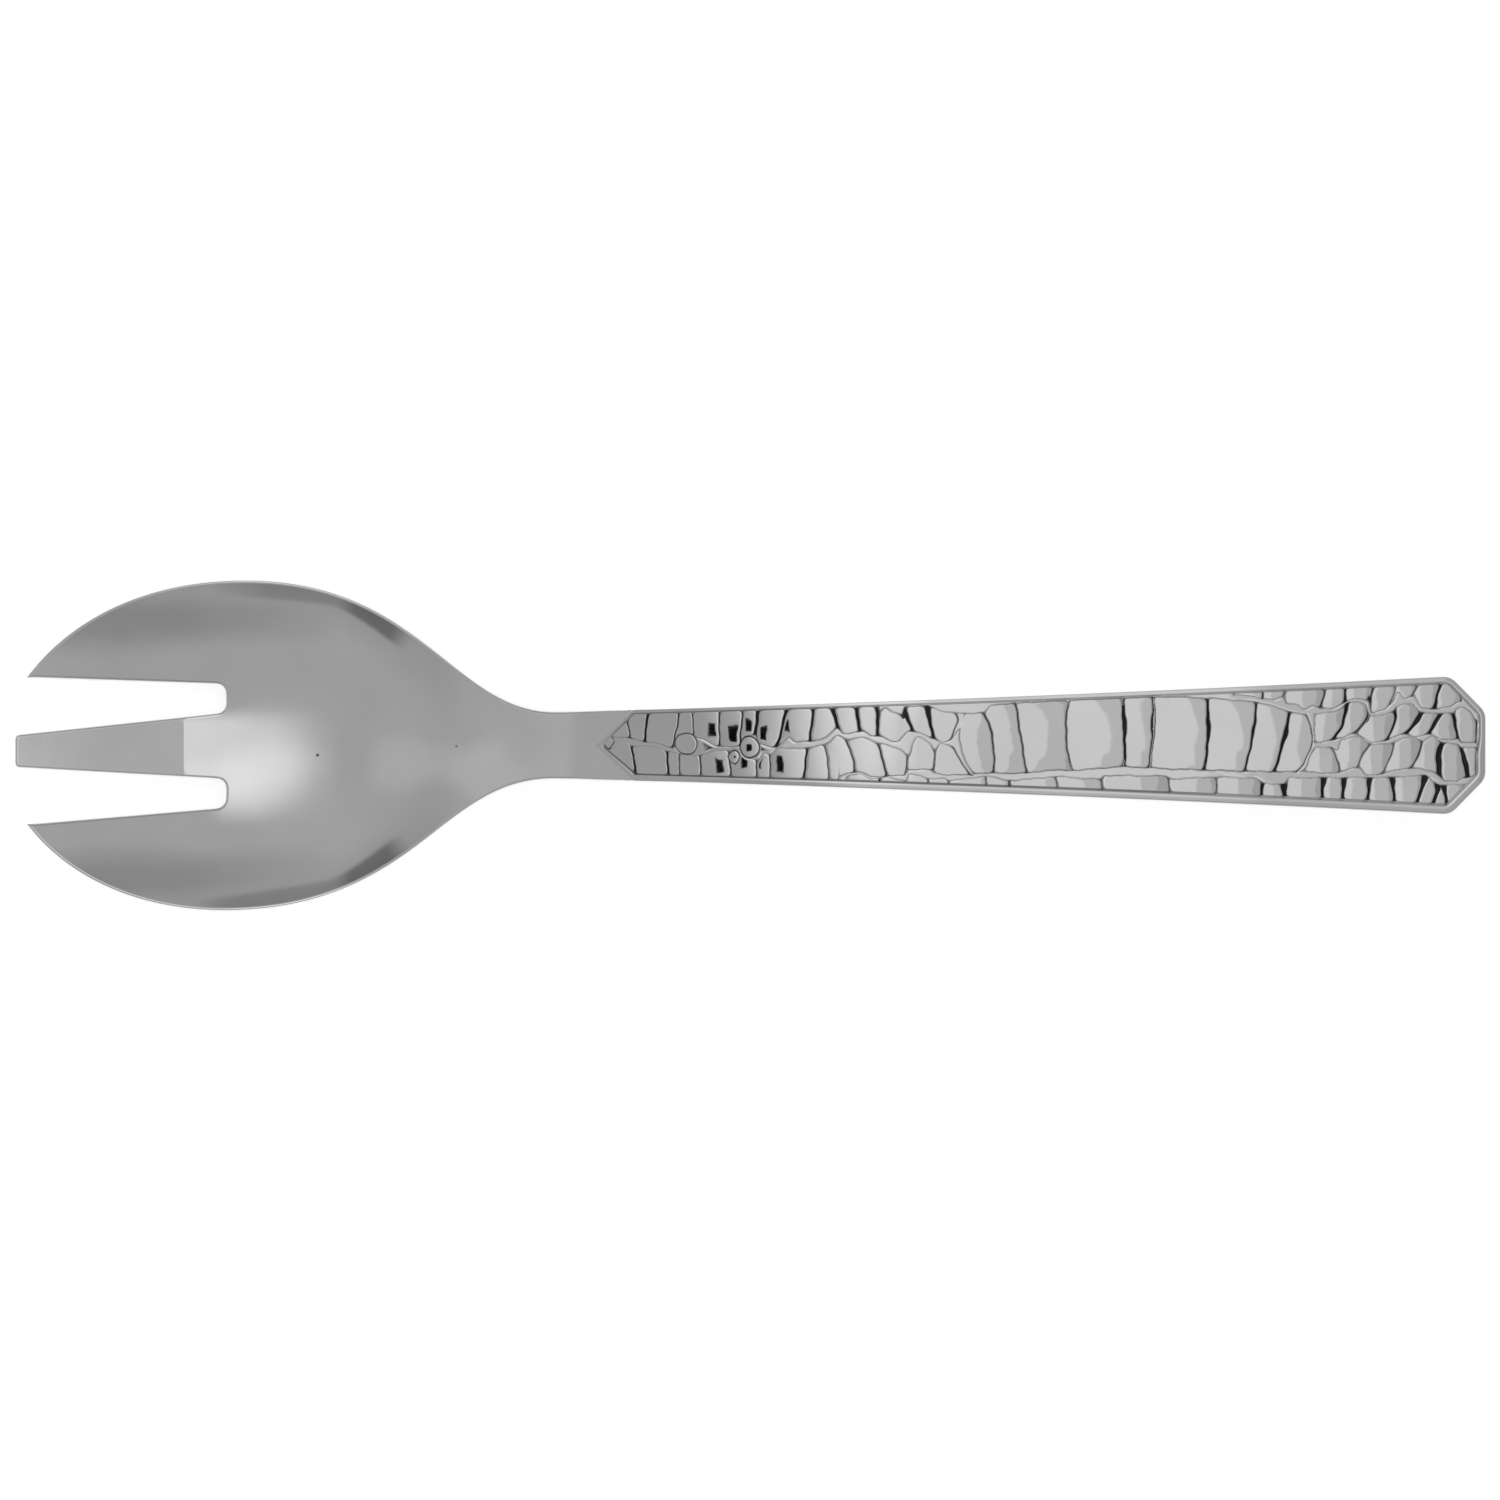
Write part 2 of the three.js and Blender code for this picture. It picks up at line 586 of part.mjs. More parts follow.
const POLISHED_STEEL = { color: 0xb8b9ba, roughness: 0.16, metalness: 1 };
const STRUCK_STEEL = { color: 0xb4b5b6, roughness: 0.2, metalness: 1 };
const RESIN = { color: 0xc9bd9c, roughness: 0.85, metalness: 0 };

const server = new THREE.Group();
server.add(
  piece("tined_bowl", tinedBowl(), POLISHED_STEEL),
  piece("handle_front_shell", frontShell(), STRUCK_STEEL),
  piece("handle_back_shell", backShell(), STRUCK_STEEL),
  piece("handle_core", handleCore(), RESIN),
);

export default server;
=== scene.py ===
"""Salad serving spoon: a stamped, tined steel bowl on a hollow handle with an embossed crocodile panel.

Shapes are worked out in millimetres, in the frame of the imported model, and turned into metres as their
meshes are made. Lengths in the materials and the studio are in metres.
"""
import math

import bpy
import numpy as np
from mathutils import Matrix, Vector
from mathutils.geometry import delaunay_2d_cdt


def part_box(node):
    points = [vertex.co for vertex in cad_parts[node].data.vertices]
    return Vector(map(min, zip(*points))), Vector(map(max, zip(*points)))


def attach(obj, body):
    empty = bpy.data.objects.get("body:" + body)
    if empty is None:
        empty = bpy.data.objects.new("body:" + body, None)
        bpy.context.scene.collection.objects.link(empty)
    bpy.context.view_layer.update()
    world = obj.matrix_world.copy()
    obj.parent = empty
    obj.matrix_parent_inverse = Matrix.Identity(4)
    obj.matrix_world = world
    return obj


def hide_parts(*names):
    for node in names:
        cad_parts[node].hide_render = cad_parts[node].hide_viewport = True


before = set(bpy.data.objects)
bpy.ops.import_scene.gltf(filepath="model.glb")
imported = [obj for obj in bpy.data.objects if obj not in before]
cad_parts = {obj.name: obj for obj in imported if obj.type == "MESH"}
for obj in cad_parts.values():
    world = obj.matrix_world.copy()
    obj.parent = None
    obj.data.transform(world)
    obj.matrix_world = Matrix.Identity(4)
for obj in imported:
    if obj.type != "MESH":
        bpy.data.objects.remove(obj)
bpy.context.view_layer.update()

MM = 0.001

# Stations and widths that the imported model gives

BOWL_LOW, BOWL_HIGH = (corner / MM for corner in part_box("tined_bowl"))
FRONT_LOW, FRONT_HIGH = (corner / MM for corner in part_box("handle_front_shell"))
TIP_X = BOWL_LOW.x
NOSE_X = FRONT_LOW.x
BUTT_X = FRONT_HIGH.x
BOWL_HALF_WIDTH = BOWL_HIGH.y
BUTT_HALF_WIDTH = FRONT_HIGH.y

# Bowl and neck seen from above

WIDEST_X = TIP_X + 38
NECK_X = NOSE_X - 7.3
NECK_HALF_WIDTH = 5.8
BOWL_NOSE_FULLNESS = 4
BOWL_SIDE_FULLNESS = 23
BOWL_REAR_FULLNESS = 31.5
NECK_FLARE = 19
TIP_SET = -1.0
REAR_SET = 0.65
REAR_SET_X = WIDEST_X + 34
SLOT_X = TIP_X + 35.5
SLOT_ROOT_WIDTH = 4.9
SLOT_CORNER_RADIUS = 1.8
MIDDLE_TINE_TIP_HALF = 2.8
MIDDLE_TINE_ROOT_HALF = 5.8
SLOT_MIDDLE = MIDDLE_TINE_ROOT_HALF + SLOT_ROOT_WIDTH / 2
TINE_TIP_RADIUS = 0.9
OUTER_TIP = np.array([TIP_X + 2.2, 12.6])
OUTER_TIP_ANGLE = math.radians(56)

# Bowl and neck seen from the side

BOWL_THICKNESS = 1.8
NECK_THICKNESS = 4.8
TINE_SECTION_RADIUS = 40
REAR_SECTION_RADIUS = 27
BEND_X = TIP_X + 28.3
BEND_LIFT = 4.0
BEND_SLOPE = -0.2
BEND_EASE = 0.12
TINE_SLOPE = -0.36
TINE_TIP_LIFT = BEND_LIFT - TINE_SLOPE * (BEND_X - TIP_X)
FLOOR_X = TIP_X + 54
DISH_REAR_X = FLOOR_X + 28.5
DISH_REAR_LIFT = 11.55
DISH_REAR_SLOPE = 0.45
DISH_FADE_LENGTH = 20
BASE_FLAT_DEPTH = 0.25
EDGE_RADIUS = 0.55
TIP_EDGE_RADIUS = 0.04
EDGE_GROWTH = 0.35

# Handle

SHOULDER_HALF_WIDTH = 6.05
SHOULDER_X = NOSE_X + SHOULDER_HALF_WIDTH
SIDE_BOW = 0.4
BUTT_CLIP = 6.2
CLIP_X = BUTT_X - BUTT_CLIP
BUTT_CORNER_RADIUS = 3
NOSE_LIFT = 18.95
NOSE_SLOPE = 0.16
CREST_X = NOSE_X + 18
CREST_LIFT = 21.25
STRAIGHT_LENGTH = 88
STRAIGHT_SLOPE = -0.17
NOSE_THICKNESS = 5.0
BUTT_THICKNESS = 7.0
SHELL_WALL = 0.8
HALF_SEAM = 0.1
JOINT_GAP = 0.05
DIAGONAL = math.sqrt(2)
NOTCH_SHIFT = JOINT_GAP * DIAGONAL
PRONG = np.array([SHOULDER_X - NOTCH_SHIFT, SHOULDER_HALF_WIDTH])

# Rim round the embossed panel
# A place is (how far in from the edge, how far below the top): shares of the rim's width and millimetres on
# the top, shares of that width both ways on the fall, and millimetres both ways on the edges.

RIM_GUIDE = 1.2
NOSE_RIM = 0.6
NEAR_RIM = 1.15
NEAR_BUTT_RIM = 1.7
FAR_RIM = 0.6
FAR_BUTT_RIM = 1.2
SIDE_BLEND = 2
PANEL_RECESS = 0.45
NOSE_BEVEL = 0.05
BEVEL_GROWTH = 12
RIM_TOP = [(0.96, 0.4), (0.9, 0.07), (0.84, 0), (0.58, 0)]
RIM_FALL = [(0.5, 0.013), (0.2, 0.051), (0.14, 0.061)]
# Painted shade on the rim's first two rings beside the panel
RIM_SHADE = [0.3, 0.1]
FRONT_EDGE = [(0.05, 0.32), (0.015, 0.5), (0, 0.7)]
BACK_EDGE = [(0.46, 0), (0.38, 0.03), (0.3, 0.13), (0.06, 0.84), (0.01, 0.97), (0, 1.1)]

# The shells' edges at the seam: (how far in, how far from the seam's middle)

SEAM_ROUND = 0.12
SEAM_EDGE = [(0, HALF_SEAM + SEAM_ROUND), (SEAM_ROUND, HALF_SEAM), (SHELL_WALL, HALF_SEAM)]

# Embossing

SCALE_HEIGHT = 0.42
THIN_GROOVE = 0.03
GROOVE_STEP = 0.1
THIN_DEPTH = 0.1
DEPTH_STEP = 0.16
FLANK = 0.06
LINE_DEPTH = 0.07
LINE_FLANK = 0.09
EDGE_DEPTH = 0.1
# Painted shade along the grooves, for their shadow and dark reflections: more on a scale's right side and
# foot
LEFT_SHADE = 0.5
RIGHT_SHADE = 0.9
FOOT_SHADE = 0.6
TOP_SHADE = 0.4
EDGE_SHADE = 0.4
FAR_EDGE_FADE = 0.75
NEAR_EDGE_FADE = 1
NEAR_FADE_RUN = (96, 112)
SHADE_CORE = 0.03
SHADE_REACH = 0.16
CORNER_SHARE = 0.14
CORNER_LEAST = 0.03
CORNER_SPREAD = 0.22
WEIGHT_LIMIT = 30
ROW_LEAST = 0.1
SIDE_CROWN = 2
TILT_REACH = 0.25
TILT_TURN = 2.4
LAND_DROP = 0.03

# Small waves that keep the embossing from looking ruled: (height, radians a millimetre along, and across)

WARP_ALONG = [(0.06, 0.5, 1.3), (0.03, -1.1, 2.9)]
WARP_ACROSS = [(0.06, 1.1, 0.6), (0.03, 2.7, 1.3)]
SWELL_HEIGHT = 0.004
SWELL_ALONG = 0.8
SWELL_BEND = (0.9, 0.5)
SWELL_ACROSS = (0.25, 0.6, 0.4)

# Tang

TANG_HALF_WIDTH = 3.5
TANG_END_HALF_WIDTH = 2.4
TANG_HALF_THICKNESS = 0.8
TANG_BEVEL = TANG_HALF_THICKNESS / 3
TANG_ROOT_X = NOSE_X - 4
TANG_END_X = NOSE_X + 72

# Mesh steps

PANEL_STEP = 0.1
BACK_STEP = 0.5
SHEET_STEP = 1.2
OUTLINE_STEP = 0.7
CURVE_SAMPLES = 400
CORNER_STEPS = 8
EDGE_STEPS = 5
EDGE_LEAN = 0.01
TANG_STEPS = 26
SLOPE_STEP = 0.01
NORMAL_STEP = 0.02
LINE_STEP = 0.1
MERGE_REACH = 1e-6
TRIANGLES_INSIDE = 1

# Curves along the server


def mix(a, b, t):
    return a + (b - a) * t


def smooth(x, low, high):
    t = np.clip((x - low) / (high - low), 0, 1)
    return t * t * (3 - 2 * t)


def handle_half(x):
    """Half the handle's thickness."""
    return mix(NOSE_THICKNESS, BUTT_THICKNESS, (x - NOSE_X) / (BUTT_X - NOSE_X)) / 2


def cubics(stations):
    """A curve through stations (place, value, slope), each pair joined by a cubic with those slopes."""
    xs, zs, slopes = np.transpose(np.asarray(stations, float))

    def value(x):
        i = np.clip(np.searchsorted(xs, x) - 1, 0, len(xs) - 2)
        run = xs[i + 1] - xs[i]
        t = (x - xs[i]) / run
        leave = t * (1 - t) ** 2 * run * slopes[i]
        arrive = t ** 2 * (t - 1) * run * slopes[i + 1]
        return zs[i] + (zs[i + 1] - zs[i]) * t ** 2 * (3 - 2 * t) + leave + arrive

    return value


BUTT_LIFT = BUTT_THICKNESS / 2

# Height of the middle of the metal on the centre plane
midline = cubics([
    (TIP_X, TINE_TIP_LIFT, TINE_SLOPE),
    (BEND_X, BEND_LIFT, TINE_SLOPE),
    (BEND_X, BEND_LIFT, BEND_SLOPE),
    (FLOOR_X, BOWL_THICKNESS / 2 - BASE_FLAT_DEPTH, 0),
    (DISH_REAR_X, DISH_REAR_LIFT, DISH_REAR_SLOPE),
    (NOSE_X, NOSE_LIFT, NOSE_SLOPE),
    (CREST_X, CREST_LIFT, 0),
    (BUTT_X - STRAIGHT_LENGTH, BUTT_LIFT - STRAIGHT_SLOPE * STRAIGHT_LENGTH, STRAIGHT_SLOPE),
    (BUTT_X, BUTT_LIFT, STRAIGHT_SLOPE),
])

# The outer tines curve up evenly from the slots' roots, without the middle tine's bend
ROOT_SLOPE = (midline(SLOT_X + SLOPE_STEP) - midline(SLOT_X - SLOPE_STEP)) / (2 * SLOPE_STEP)
outer_tine = cubics([
    (TIP_X, TINE_TIP_LIFT, TINE_SLOPE),
    (SLOT_X, midline(SLOT_X), ROOT_SLOPE),
])

# How far the hand-bent bowl's centre line strays from the handle's
bowl_set = cubics([
    (TIP_X, TIP_SET, TIP_SET / (TIP_X - WIDEST_X)),
    (WIDEST_X, 0, TIP_SET / (TIP_X - WIDEST_X)),
    (REAR_SET_X, REAR_SET, 0),
    (NECK_X, 0, 0),
    (SHOULDER_X, 0, 0),
])


def sheet_half(x):
    """Half the stamped sheet's thickness."""
    return mix(BOWL_THICKNESS, NECK_THICKNESS, smooth(x, FLOOR_X, NOSE_X)) / 2


def curl(x, y):
    """How far the sheet curls up beside the centre plane."""
    reach = DISH_FADE_LENGTH / 2
    fade = 1 - smooth(x, DISH_REAR_X - reach, DISH_REAR_X + reach)
    radius = mix(TINE_SECTION_RADIUS, REAR_SECTION_RADIUS, (x - TIP_X) / (DISH_REAR_X - TIP_X))
    return fade * (y - bowl_set(x)) ** 2 / (2 * radius)


def handle_side(x):
    """Half the handle's width between its shoulder and its clipped butt."""
    t = (x - SHOULDER_X) / (CLIP_X - SHOULDER_X)
    return mix(SHOULDER_HALF_WIDTH, BUTT_HALF_WIDTH, t) - 4 * SIDE_BOW * t * (1 - t)


def handle_width(x, inset):
    """Half the width of the handle's outline, moved inwards by a distance."""
    nose = x - NOSE_X - inset * DIAGONAL
    clip = BUTT_HALF_WIDTH - (x - CLIP_X) - inset * DIAGONAL
    return np.minimum(np.minimum(nose, clip), handle_side(x) - inset)


def rim_width(x, y):
    """Width of the rim beside the panel: more on the near side, and more towards the butt."""
    along = np.clip((x - SHOULDER_X) / (CLIP_X - SHOULDER_X), 0, 1)
    near = mix(NEAR_RIM, NEAR_BUTT_RIM, along)
    far = mix(FAR_RIM, FAR_BUTT_RIM, along)
    side = mix(near, far, smooth(y, -SIDE_BLEND, SIDE_BLEND))
    return mix(NOSE_RIM, side, smooth(x, NOSE_X, SHOULDER_X))


# Meshes


def mesh_object(name, points, faces, material):
    """A smooth mesh object in the scene, from points in metres."""
    mesh = bpy.data.meshes.new(name)
    mesh.from_pydata(points, [], faces, shade_flat=False)
    mesh.materials.append(material)
    item = bpy.data.objects.new(name, mesh)
    bpy.context.scene.collection.objects.link(item)
    return item


def make_piece(name, points, faces, material, normals=None):
    """A piece from points in millimetres, riding on the part's one body."""
    places = (np.asarray(points) * MM).tolist()
    piece = mesh_object(name, places, [list(map(int, f)) for f in faces], material)
    if normals is not None:
        piece.data.normals_split_custom_set_from_vertices(normals.tolist())
    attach(piece, "root")
    return piece


def band(low, high, count):
    """Quads between two closed rings that start at the given indices, the second one inside or above."""
    here = np.arange(count)
    there = (here + 1) % count
    return np.stack([low + here, low + there, high + there, high + here], axis=1)


def unit(vectors):
    return vectors / np.linalg.norm(vectors, axis=1, keepdims=True)


def offsets(loop):
    """The outward step of each point of an anticlockwise loop that moves all its sides out by one."""
    before = unit(loop - np.roll(loop, 1, axis=0))
    after = np.roll(before, -1, axis=0)
    along = unit(before + after)
    outward = np.stack([along[:, 1], -along[:, 0]], axis=1)
    return outward / np.sum(along * before, axis=1, keepdims=True)


# Stamped bowl and neck


def bezier(a, b, c, d):
    """Evenly spaced points on a cubic curve, without its first one."""
    t = np.linspace(0, 1, CURVE_SAMPLES)[:, None]
    curve = a * (1 - t) ** 3 + 3 * b * t * (1 - t) ** 2 + 3 * c * t ** 2 * (1 - t) + d * t ** 3
    lengths = np.linalg.norm(np.diff(curve, axis=0), axis=1).cumsum()
    places = np.concatenate([[0], lengths])
    even = np.linspace(0, lengths[-1], int(np.ceil(lengths[-1] / OUTLINE_STEP)) + 1)[1:]
    return np.stack([np.interp(even, places, column) for column in curve.T], axis=1)


def straight(a, b):
    """Evenly spaced points on a straight run, without its first one."""
    count = max(1, int(np.ceil(np.linalg.norm(np.subtract(b, a)) / OUTLINE_STEP)))
    t = np.linspace(0, 1, count + 1)[1:, None]
    return np.asarray(a) * (1 - t) + np.asarray(b) * t


def rounded(before, corner, after, radius):
    """The straight run up to a corner, and the curve round it."""
    start, end = corner + unit(np.array([before, after]) - corner) * radius
    t = np.linspace(0, 1, CORNER_STEPS + 1)[1:, None]
    curve = start * (1 - t) ** 2 + 2 * corner * t * (1 - t) + end * t ** 2
    return np.concatenate([straight(before, start), curve]), end


def blank_side():
    """One side of the stamped blank, from the middle tine's tip to the notch in the neck."""
    tip = np.array([TIP_X, 0.0])
    tine = np.array([TIP_X, MIDDLE_TINE_TIP_HALF])
    root_inner = np.array([SLOT_X, MIDDLE_TINE_ROOT_HALF])
    root_outer = root_inner + [0, SLOT_ROOT_WIDTH]
    way = np.array([math.cos(OUTER_TIP_ANGLE), math.sin(OUTER_TIP_ANGLE)])
    leave = OUTER_TIP + BOWL_NOSE_FULLNESS * way
    widest = np.array([WIDEST_X, BOWL_HALF_WIDTH])
    neck = np.array([NECK_X, NECK_HALF_WIDTH])
    ease = [(neck[0] + PRONG[0]) / 2, 0]
    runs = []
    at = tip
    corners = [
        (tine, root_inner, TINE_TIP_RADIUS),
        (root_inner, root_outer, SLOT_CORNER_RADIUS),
        (root_outer, OUTER_TIP, SLOT_CORNER_RADIUS),
    ]
    for corner, after, radius in corners:
        run, at = rounded(at, corner, after, radius)
        runs.append(run)
    runs += [
        straight(at, OUTER_TIP),
        bezier(OUTER_TIP, leave, widest - [BOWL_SIDE_FULLNESS, 0], widest),
        bezier(widest, widest + [BOWL_REAR_FULLNESS, 0], neck - [NECK_FLARE, 0], neck),
        bezier(neck, ease + neck * [0, 1], ease + PRONG * [0, 1], PRONG),
        straight(PRONG, [NOSE_X - NOTCH_SHIFT, 0]),
    ]
    return np.concatenate([tip[None], *runs])


def blank_outline():
    """The whole blank, anticlockwise."""
    side = blank_side()
    outline = np.concatenate([side * [1, -1], side[-2:0:-1]])
    outline[:, 1] += bowl_set(outline[:, 0])
    return outline


def inside(points, loop):
    """Which points lie inside a closed loop."""
    a, b = loop, np.roll(loop, -1, axis=0)
    x, y = points[:, 0, None], points[:, 1, None]
    spans = (a[:, 1] > y) != (b[:, 1] > y)
    rise = np.where(b[:, 1] == a[:, 1], 1, b[:, 1] - a[:, 1])
    crossing = x < a[:, 0] + (y - a[:, 1]) / rise * (b[:, 0] - a[:, 0])
    return np.sum(spans & crossing, axis=1) % 2 == 1


def clearance(points, loop):
    """How far each point lies from a closed loop."""
    a, b = loop, np.roll(loop, -1, axis=0)
    side = b - a
    t = np.sum((points[:, None] - a) * side, axis=2) / np.sum(side * side, axis=1)
    foot = a + np.clip(t, 0, 1)[:, :, None] * side
    return np.linalg.norm(points[:, None] - foot, axis=2).min(axis=1)


def triangulated(loop):
    """Points inside a loop on a staggered grid, and the triangles that join them to it."""
    low, high = loop.min(axis=0), loop.max(axis=0)
    rows = np.arange(low[1], high[1], SHEET_STEP * math.sqrt(3) / 2)
    columns = np.arange(low[0], high[0], SHEET_STEP)
    grid = np.array([(x + SHEET_STEP / 2 * (i % 2), y) for i, y in enumerate(rows) for x in columns])
    bend_rows = np.arange(low[1], high[1], SHEET_STEP / 2)
    bend = [(BEND_X + shift, y) for y in bend_rows for shift in (-BEND_EASE, BEND_EASE)]
    grid = grid[np.abs(grid[:, 0] - BEND_X) > BEND_EASE + SHEET_STEP / 2]
    grid = np.concatenate([grid, bend])
    grid = grid[inside(grid, loop)]
    grid = grid[clearance(grid, loop) > SHEET_STEP / 2]
    points = np.concatenate([loop, grid])
    count = len(loop)
    sides = [(i, (i + 1) % count) for i in range(count)]
    flat = [Vector(point) for point in points]
    _, _, faces, origins, _, _ = delaunay_2d_cdt(flat, sides, [], TRIANGLES_INSIDE, MERGE_REACH)
    first = [origin[0] for origin in origins]
    return points, np.array([[first[i] for i in face] for face in faces])


def sheet_height(x, y, side):
    """Height of the sheet's upper side (1) or lower side (-1), which has a small flat to stand on."""
    on_outer_tine = (x < SLOT_X) & (np.abs(y - bowl_set(x)) > SLOT_MIDDLE)
    middle = np.where(on_outer_tine, outer_tine(x), midline(x)) + curl(x, y)
    return np.maximum(middle + side * sheet_half(x), 0)


def sheet_normal(x, y, side):
    """Outward normal of the sheet's upper or lower side."""
    step = NORMAL_STEP
    dx = (sheet_height(x + step, y, side) - sheet_height(x - step, y, side)) / (2 * step)
    dy = (sheet_height(x, y + step, side) - sheet_height(x, y - step, side)) / (2 * step)
    return unit(np.stack([-dx, -dy, np.ones_like(dx)], axis=1) * side)


def edge_form(outline, outward):
    """Radius of the blank's edge, and its sideways normal, which is nothing along the tight notch."""
    flat = unit(np.concatenate([outward, np.zeros((len(outline), 1))], axis=1))
    ends = [point * [1, side] for point in (OUTER_TIP, PRONG) for side in (1, -1)]
    sharp = [end + [0, bowl_set(end[0])] for end in ends]
    from_tip = np.min([np.linalg.norm(outline - point, axis=1) for point in sharp], axis=0)
    radius = np.minimum(EDGE_RADIUS, TIP_EDGE_RADIUS + EDGE_GROWTH * from_tip)
    from_notch = outline[:, 0] - np.abs(outline[:, 1]) - (NOSE_X - NOTCH_SHIFT)
    on_notch = np.abs(from_notch) < TIP_EDGE_RADIUS
    flat[on_notch] = 0
    return np.where(on_notch, TIP_EDGE_RADIUS, radius), flat


def edge_rings(outline, outward, radius, flat):
    """Rings of points and normals round the blank's edge, from its upper side to its lower one."""
    turns = np.linspace(0, math.pi / 2, EDGE_STEPS + 1)[1:]
    for side, angles in ((1, turns), (-1, turns[::-1])):
        for turn in angles:
            ring = outline - outward * radius[:, None] * (1 - math.sin(turn))
            x, y = ring.T
            z = sheet_height(x, y, side) - side * radius * (1 - math.cos(turn))
            normal = sheet_normal(x, y, side) * max(math.cos(turn), EDGE_LEAN) + flat * math.sin(turn)
            yield np.stack([x, y, z], axis=1), unit(normal)


def tined_bowl(material):
    """The stamped bowl and neck, with a rounded edge all round."""
    outline = blank_outline()
    outward = offsets(outline)
    radius, flat = edge_form(outline, outward)
    field, triangles = triangulated(outline - outward * radius[:, None])
    x, y = field.T
    parts = []
    for side in (1, -1):
        surface = np.stack([x, y, sheet_height(x, y, side)], axis=1)
        parts.append((surface, sheet_normal(x, y, side)))
    parts += edge_rings(outline, outward, radius, flat)
    points, normals = (np.concatenate(part) for part in zip(*parts))

    size, count = len(field), len(outline)
    first, second, third = field[triangles[0]]
    upward = np.cross(second - first, third - first) > 0
    top = triangles if upward else triangles[:, ::-1]
    faces = [*top.tolist(), *(top[:, ::-1] + size).tolist()]
    starts = [0, *(2 * size + count * np.arange(2 * EDGE_STEPS)), size]
    for upper, lower in zip(starts, starts[1:]):
        faces += band(lower, upper, count).tolist()
    piece = make_piece("tined_bowl_polished", points, faces, material, normals)
    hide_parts("tined_bowl")


def tang(material):
    """The strap that carries the neck on into the handle."""
    x = np.linspace(TANG_ROOT_X, TANG_END_X, TANG_STEPS + 1)
    half = mix(TANG_HALF_WIDTH, TANG_END_HALF_WIDTH, smooth(x, NOSE_X, TANG_END_X))
    middle = midline(x) - PANEL_RECESS / 2
    wide, high = half - TANG_BEVEL, TANG_HALF_THICKNESS - TANG_BEVEL
    right = [(wide, -TANG_HALF_THICKNESS), (half, -high), (half, high), (wide, TANG_HALF_THICKNESS)]
    corners = right + [(-y, -rise) for y, rise in right]
    columns = [np.stack([x, y, middle + rise], axis=1) for y, rise in corners]
    points = np.stack(columns, axis=1).reshape(-1, 3)
    size = len(corners)
    faces = [f for i in range(TANG_STEPS) for f in band(i * size, (i + 1) * size, size)]
    faces.append(range(size - 1, -1, -1))
    faces.append(range(TANG_STEPS * size, (TANG_STEPS + 1) * size))
    make_piece("tang", points, faces, material)


# Embossed panel
# A place is (millimetres along from the nose, millimetres across from the centre plane).

UPPER_FOOT = [
    (2.4, 1.3), (4.5, 1.4), (5.7, 1.2), (8.1, 0.5), (10.3, 0.4), (12.9, -0.5), (14.3, 1), (15.7, 1.7),
    (17.6, 1.2), (20.8, -0.2), (24.5, -0.2), (25.3, 1.3), (27, 1.8), (27.9, 0.3), (30.7, -0.4),
    (32.7, 1.3), (33.9, 0.6), (36.4, 0.6), (39.1, 1.4), (41, 2.8), (42.2, 1.9), (45.2, 2.4), (47.1, 1.5),
    (48.1, 1.5), (51.2, 0.6), (53.6, 2.4), (57.6, 1.1), (59, 0.4), (60.3, 0.8), (62.4, 2.8),
]
UPPER_TOP = [
    (0, 12), (47.7, 12), (48.4, 6), (49.3, 6.4), (50.5, 5.7), (52.2, 5.3), (52.8, 6.7), (56.4, 6.8),
    (57.8, 6.3), (59.5, 5.8), (63.3, 5.4),
]
LOWER_TOP = [
    (2.7, -0.6), (4.3, 1.3), (6, 0), (10, -0.2), (12, -0.9), (16.4, -1.7), (20.7, -0.9),
    (24.5, -0.8), (25.8, -2.1), (27.4, -2.5), (28.4, -1.3), (29.6, -1.5), (30.8, -0.6), (35.3, -0.5),
    (39.5, 0.5), (41, 1.6), (42.7, 1), (45.2, 1.4), (47.4, 0.5), (49.3, 0.1), (51.7, -0.6), (53.1, -1.6),
    (54.8, 1.5), (56.7, 0.6), (57.9, -0.6), (58.8, 0.3), (60.9, -0.3), (62.6, -1.8), (64.5, -4.3),
]
LOWER_FOOT = [
    (0, -12), (40.8, -12), (41.5, -5.3), (44, -4.7), (45.3, -4.8), (47.1, -5.4), (52.4, -5.2),
    (53.4, -4.2), (56.9, -4.2), (57.8, -4.7), (60, -5.1), (64.7, -5.1),
]
PLATE_FOOT = [
    (62.4, -4.8), (73.5, -4.8), (77.6, -4.3), (81.4, -4.3), (90.5, -3.7), (99.2, -4.1), (121.6, -4.6),
]
PLATE_TOP = [
    (62.4, 5.4), (66.2, 5.7), (67.8, 6.9), (71.9, 7.3), (80.9, 7.9), (95.5, 8.5), (104.8, 8.1), (113.3, 7.4),
    (116.4, 6.8), (119, 5.8), (122.3, 5.4),
]
REAR_FOOT = [
    (121.6, -4.4), (125, -4.9), (128, -4.6), (131.4, -3.9), (133, -5.1), (135.4, -5), (136.4, -4.6),
    (140.7, -4), (144.3, -4.5), (146.8, -6.1), (148.5, -6.3), (149.9, -5.6), (152.1, -5.3),
]
REAR_LOW_TOP = [
    (120.9, -4.4), (123.1, -1), (124.3, -0.3), (126.4, -0.3), (127.6, -0.8), (128.5, 0.9), (131.4, 1.6),
    (133.5, 0.2), (136.8, 0.4), (140.9, 1.5), (142.6, 0.8), (144.5, 1.5), (146.1, 0.5), (148.5, 0.3),
    (149.5, -0.4), (152.1, -0.4),
]
REAR_HIGH_FOOT = [
    (122.4, 0.4), (126.8, 0.9), (128.5, 1.3), (130.5, 2.1), (131.6, 1.6), (133.7, 0.4), (136.1, 0.9),
    (139.7, 1.9), (141.4, 1.5), (143.5, 1.9), (146.2, 1), (148.7, 1.1), (149.4, 0.5), (152.1, 0.4),
]
